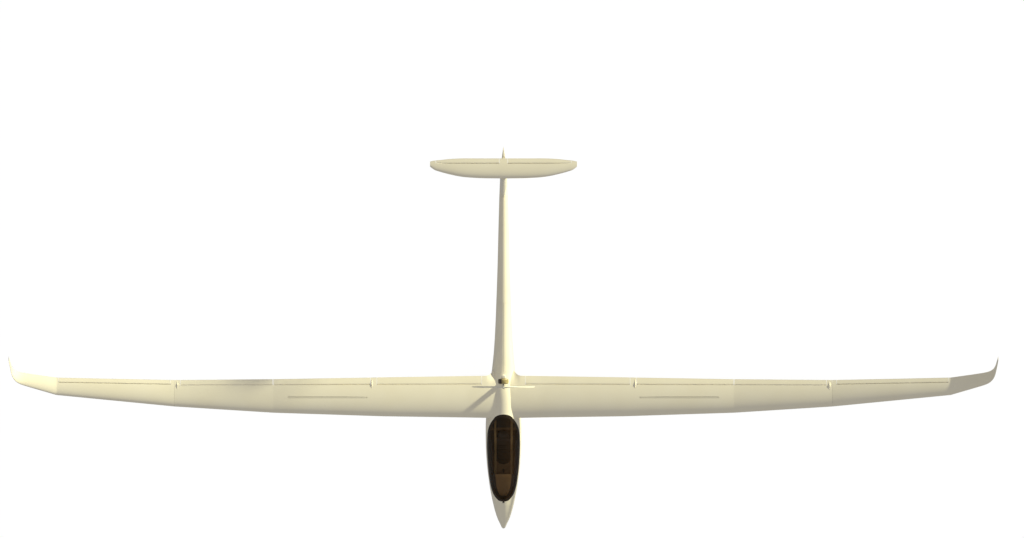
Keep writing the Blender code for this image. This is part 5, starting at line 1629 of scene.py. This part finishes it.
# %% [markdown]
# Propeller. A blade is a thin section that turns from a steep pitch at the hub to a flat one at
# the tip. Its chord swells to a paddle near 85 percent of the radius and ends in a blunt tip with
# rounded corners. The leading side is thick and round and the trailing side is sharp, so a
# section here is a teardrop and not an ellipse. Both blades are held in a flat two-part hub by a
# ring of bolts round the blackened nut of the shaft. There is no spinner.

# %% Propeller
PROPELLER_REST = math.radians(20.0)
# radius, chord, pitch in degrees, thickness, sweep
BLADE = np.array((
    (0.022, 0.044, 34.0, 0.024, 0.000),
    (0.100, 0.066, 22.0, 0.018, 0.004),
    (0.200, 0.086, 16.0, 0.014, 0.010),
    (0.310, 0.116, 13.0, 0.011, 0.014),
    (0.430, 0.152, 11.0, 0.009, 0.012),
    (0.520, 0.166, 10.0, 0.007, 0.006),
    (0.575, 0.146, 9.0, 0.005, 0.000),
    (0.600, 0.110, 9.0, 0.003, -0.006),
))
CORNER = 0.022
tip_start = BLADE[-1, 0] - CORNER
radii = np.concatenate([np.linspace(BLADE[0, 0], tip_start, 44, endpoint=False),
                        tip_start + CORNER * np.sin(np.linspace(0.0, 0.5 * np.pi, 14))])
chord, pitch, thick, sweep = smooth_columns(BLADE, radii)
rounding = np.sqrt(np.clip(1.0 - (np.clip(radii - tip_start, 0.0, None) / CORNER) ** 2, 0.0, 1.0))
chord = chord * (0.70 + 0.30 * rounding)
angle = full_turn(36)
along_chord = 0.5 * np.cos(angle)
across_chord = 0.5 * np.sin(angle) * (1.0 + 0.55 * np.cos(angle))
aft = np.array([0.0, 1.0, 0.0])
for number, turn in enumerate((PROPELLER_REST, PROPELLER_REST + math.pi)):
    out = np.array([math.cos(turn), 0.0, math.sin(turn)])
    side = np.array([-math.sin(turn), 0.0, math.cos(turn)])
    tilt = np.radians(pitch)[:, None, None]
    chord_way = np.cos(tilt) * side - np.sin(tilt) * aft
    thick_way = np.sin(tilt) * side + np.cos(tilt) * aft
    grid = (propeller_centre + radii[:, None, None] * out + sweep[:, None, None] * side
            + (chord[:, None] * along_chord)[:, :, None] * chord_way
            + (thick[:, None] * across_chord)[:, :, None] * thick_way)
    blade = closed(f"propeller_blade_{number}", grid, BLADE_PAINT, "propeller")
hub_profile = [(-0.026, 0.0006), (-0.026, 0.0310), (-0.0245, 0.0328), (-0.003, 0.0335), (-0.002, 0.0325),
               (0.000, 0.0325), (0.001, 0.0335), (0.0235, 0.0330), (0.0255, 0.0310), (0.026, 0.0006)]
hub = turned("propeller_hub", hub_profile, propeller_centre, "y", BLADE_PAINT, "propeller", 64)
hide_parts("propeller")
nut_profile = [(-0.0335, 0.0004), (-0.0335, 0.0085), (-0.0320, 0.0105), (-0.0265, 0.0110),
               (-0.0262, 0.0150), (-0.0250, 0.0150), (-0.0250, 0.0004)]
nut = turned("propeller_nut", nut_profile, propeller_centre, "y", BOLT, "propeller", 6)
BOLT_RING = 0.0235
for number, turn in enumerate(full_turn(6)):
    spot = propeller_centre + BOLT_RING * np.array([math.cos(turn), 0.0, math.sin(turn)])
    bolt = turned(f"propeller_bolt_{number}", [(-0.0300, 0.0004), (-0.0300, 0.0030), (-0.0292, 0.0038),
                                               (-0.0250, 0.0040), (-0.0250, 0.0004)],
                  spot, "y", BOLT, "propeller", 12)
print("propeller's diameter, m:", 2.0 * float(BLADE[-1, 0]))

# %% [markdown]
# Wheels. A tyre is one profile turned about the axle: two beads in the rim, bulging sidewalls
# and a tread with grooves round it. The hub is one cast profile, dished on both sides, with a
# ring of bolts, and the fork and axle of the frame stay as they are, in satin paint.

# %% Wheels
BEAD_ANGLE = math.radians(52.0)
GROOVE_HALF_WIDTH = 0.0022
GROOVE_DEPTH = 0.004


def tyre_profile(radius, rim, half, grooves):
    """One ring of (across, radius) points: superellipse sidewalls and a crowned, grooved tread."""
    angle = np.linspace(-BEAD_ANGLE, np.pi + BEAD_ANGLE, 121)
    across, up = rounded(angle, 0.8, 0.85)
    across = half * across
    middle = rim + 0.45 * (radius - rim)
    distance = middle + np.where(np.sin(angle) > 0.0, (radius - middle) * up,
                                 (middle - rim) * np.sin(angle) / math.sin(BEAD_ANGLE))
    for place in grooves:
        near = np.abs(across - place) < GROOVE_HALF_WIDTH
        distance = np.where(near & (np.sin(angle) > 0.6), distance - GROOVE_DEPTH, distance)
    return np.stack([across, distance], axis=1)


def dress_wheel(label, centre, radius, rim, half, grooves, bolts):
    """Tyre, hub and bolts of one wheel."""
    tyre = turned(f"{label}_tyre_tread", tyre_profile(radius, rim, half, grooves), centre, "x", RUBBER,
                  label, 120)
    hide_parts(f"{label}_tyre")
    disc = [(0.68 * half, rim - 0.001), (0.68 * half, 0.90 * rim), (0.60 * half, 0.86 * rim),
            (0.34 * half, 0.80 * rim), (0.26 * half, 0.72 * rim), (0.26 * half, 0.42 * rim),
            (0.34 * half, 0.36 * rim), (0.54 * half, 0.32 * rim), (0.55 * half, 0.17 * rim)]
    disc += [(-across, up) for across, up in disc[::-1]]
    hub = turned(f"{label}_hub_disc", disc, centre, "x", CAST, label, 96)
    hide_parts(f"{label}_hub")
    for number, turn in enumerate(full_turn(bolts)):
        for mark, way in (("l", 1.0), ("r", -1.0)):
            spot = centre + np.array([way * 0.26 * half, 0.57 * rim * math.cos(turn),
                                      0.57 * rim * math.sin(turn)])
            profile = [(-0.002 * way, 0.0006), (0.005 * way, 0.0006), (0.005 * way, 0.05 * rim),
                       (-0.002 * way, 0.06 * rim)]
            bolt = turned(f"{label}_bolt_{mark}_{number}", profile, spot, "x", STEEL, label, 6)


dress_wheel("main_wheel", MAIN_AXLE, 0.180, 0.095, 0.060, (-0.027, -0.009, 0.009, 0.027), 6)
dress_wheel("tail_wheel", tail_axle, 0.100, 0.052, 0.028, (-0.009, 0.009), 5)
print("from wheel to wheel, m:", round(float(np.linalg.norm(tail_axle - MAIN_AXLE)), 3))

# %% [markdown]
# The wheel well is a plain moulded box in the belly, open below, with the wheel on its fork in
# front of it. The two doors hang open on its long sides. The fork, the doors and the tail
# wheel's fork have the right shapes in the frame already, and only take their materials.

# %% Wheel well and carried-over nodes
WELL_TOP = 0.27
BOX_GAP = 0.001


def open_box(half_width, stations, low, high):
    """A box that is open below: its section at each station, from one lower edge to the other."""
    half_width = half_width + BOX_GAP
    return np.stack([grid_of(way * half_width, stations, height)
                     for way, height in ((1.0, low), (1.0, high), (-1.0, high), (-1.0, low))], axis=1)


rows = np.linspace(*WELL, 12)
half, _, bottom, waist = hull_at(rows)
belly = waist - (waist - bottom) * np.sqrt(1.0 - (WELL_HALF_WIDTH / half) ** 2)
well_grid = open_box(WELL_HALF_WIDTH, rows, belly, WELL_TOP)
well = sheet("wheel_well_box", well_grid, GELCOAT, "airframe")
thicken(well, 0.003, offset=1.0)
for label, row, place in (("front", 0, WELL[0] - BOX_GAP), ("back", -1, WELL[1] + BOX_GAP)):
    wall = well_grid[row][None] * np.array([1.0, 0.0, 1.0]) + np.array([0.0, place, 0.0])
    wall = np.concatenate([wall, wall + np.array([0.0, 0.003, 0.0])])
    bulkhead = closed(f"wheel_well_{label}", wall, GELCOAT, "airframe")

# the tail wheel's slot: an arch over the wheel, closed at both ends by the arch itself
ARCH_RADIUS = 0.112
arch = np.linspace(0.0, np.pi, 40)
arch_y = tail_axle[1] - ARCH_RADIUS * np.cos(arch)
slot_low = hull_at(arch_y)[2] + SKIN
arch_z = np.maximum(tail_axle[2] + ARCH_RADIUS * np.sin(arch) ** 0.6, slot_low)
arch_grid = open_box(SLOT_HALF_WIDTH, arch_y, slot_low, arch_z)
arch_box = sheet("tail_wheel_slot", arch_grid, GELCOAT, "airframe")
thicken(arch_box, 0.002, offset=1.0)

for node, material in (("main_gear_fork", STEEL), ("tail_wheel_fork", STEEL),
                       ("gear_door_left", GELCOAT), ("gear_door_right", GELCOAT)):
    frame["nodes"][node].data.materials.clear()
    frame["nodes"][node].data.materials.append(material)
print("wheel well's depth, m:", round(WELL_TOP - float(belly.min()), 3))
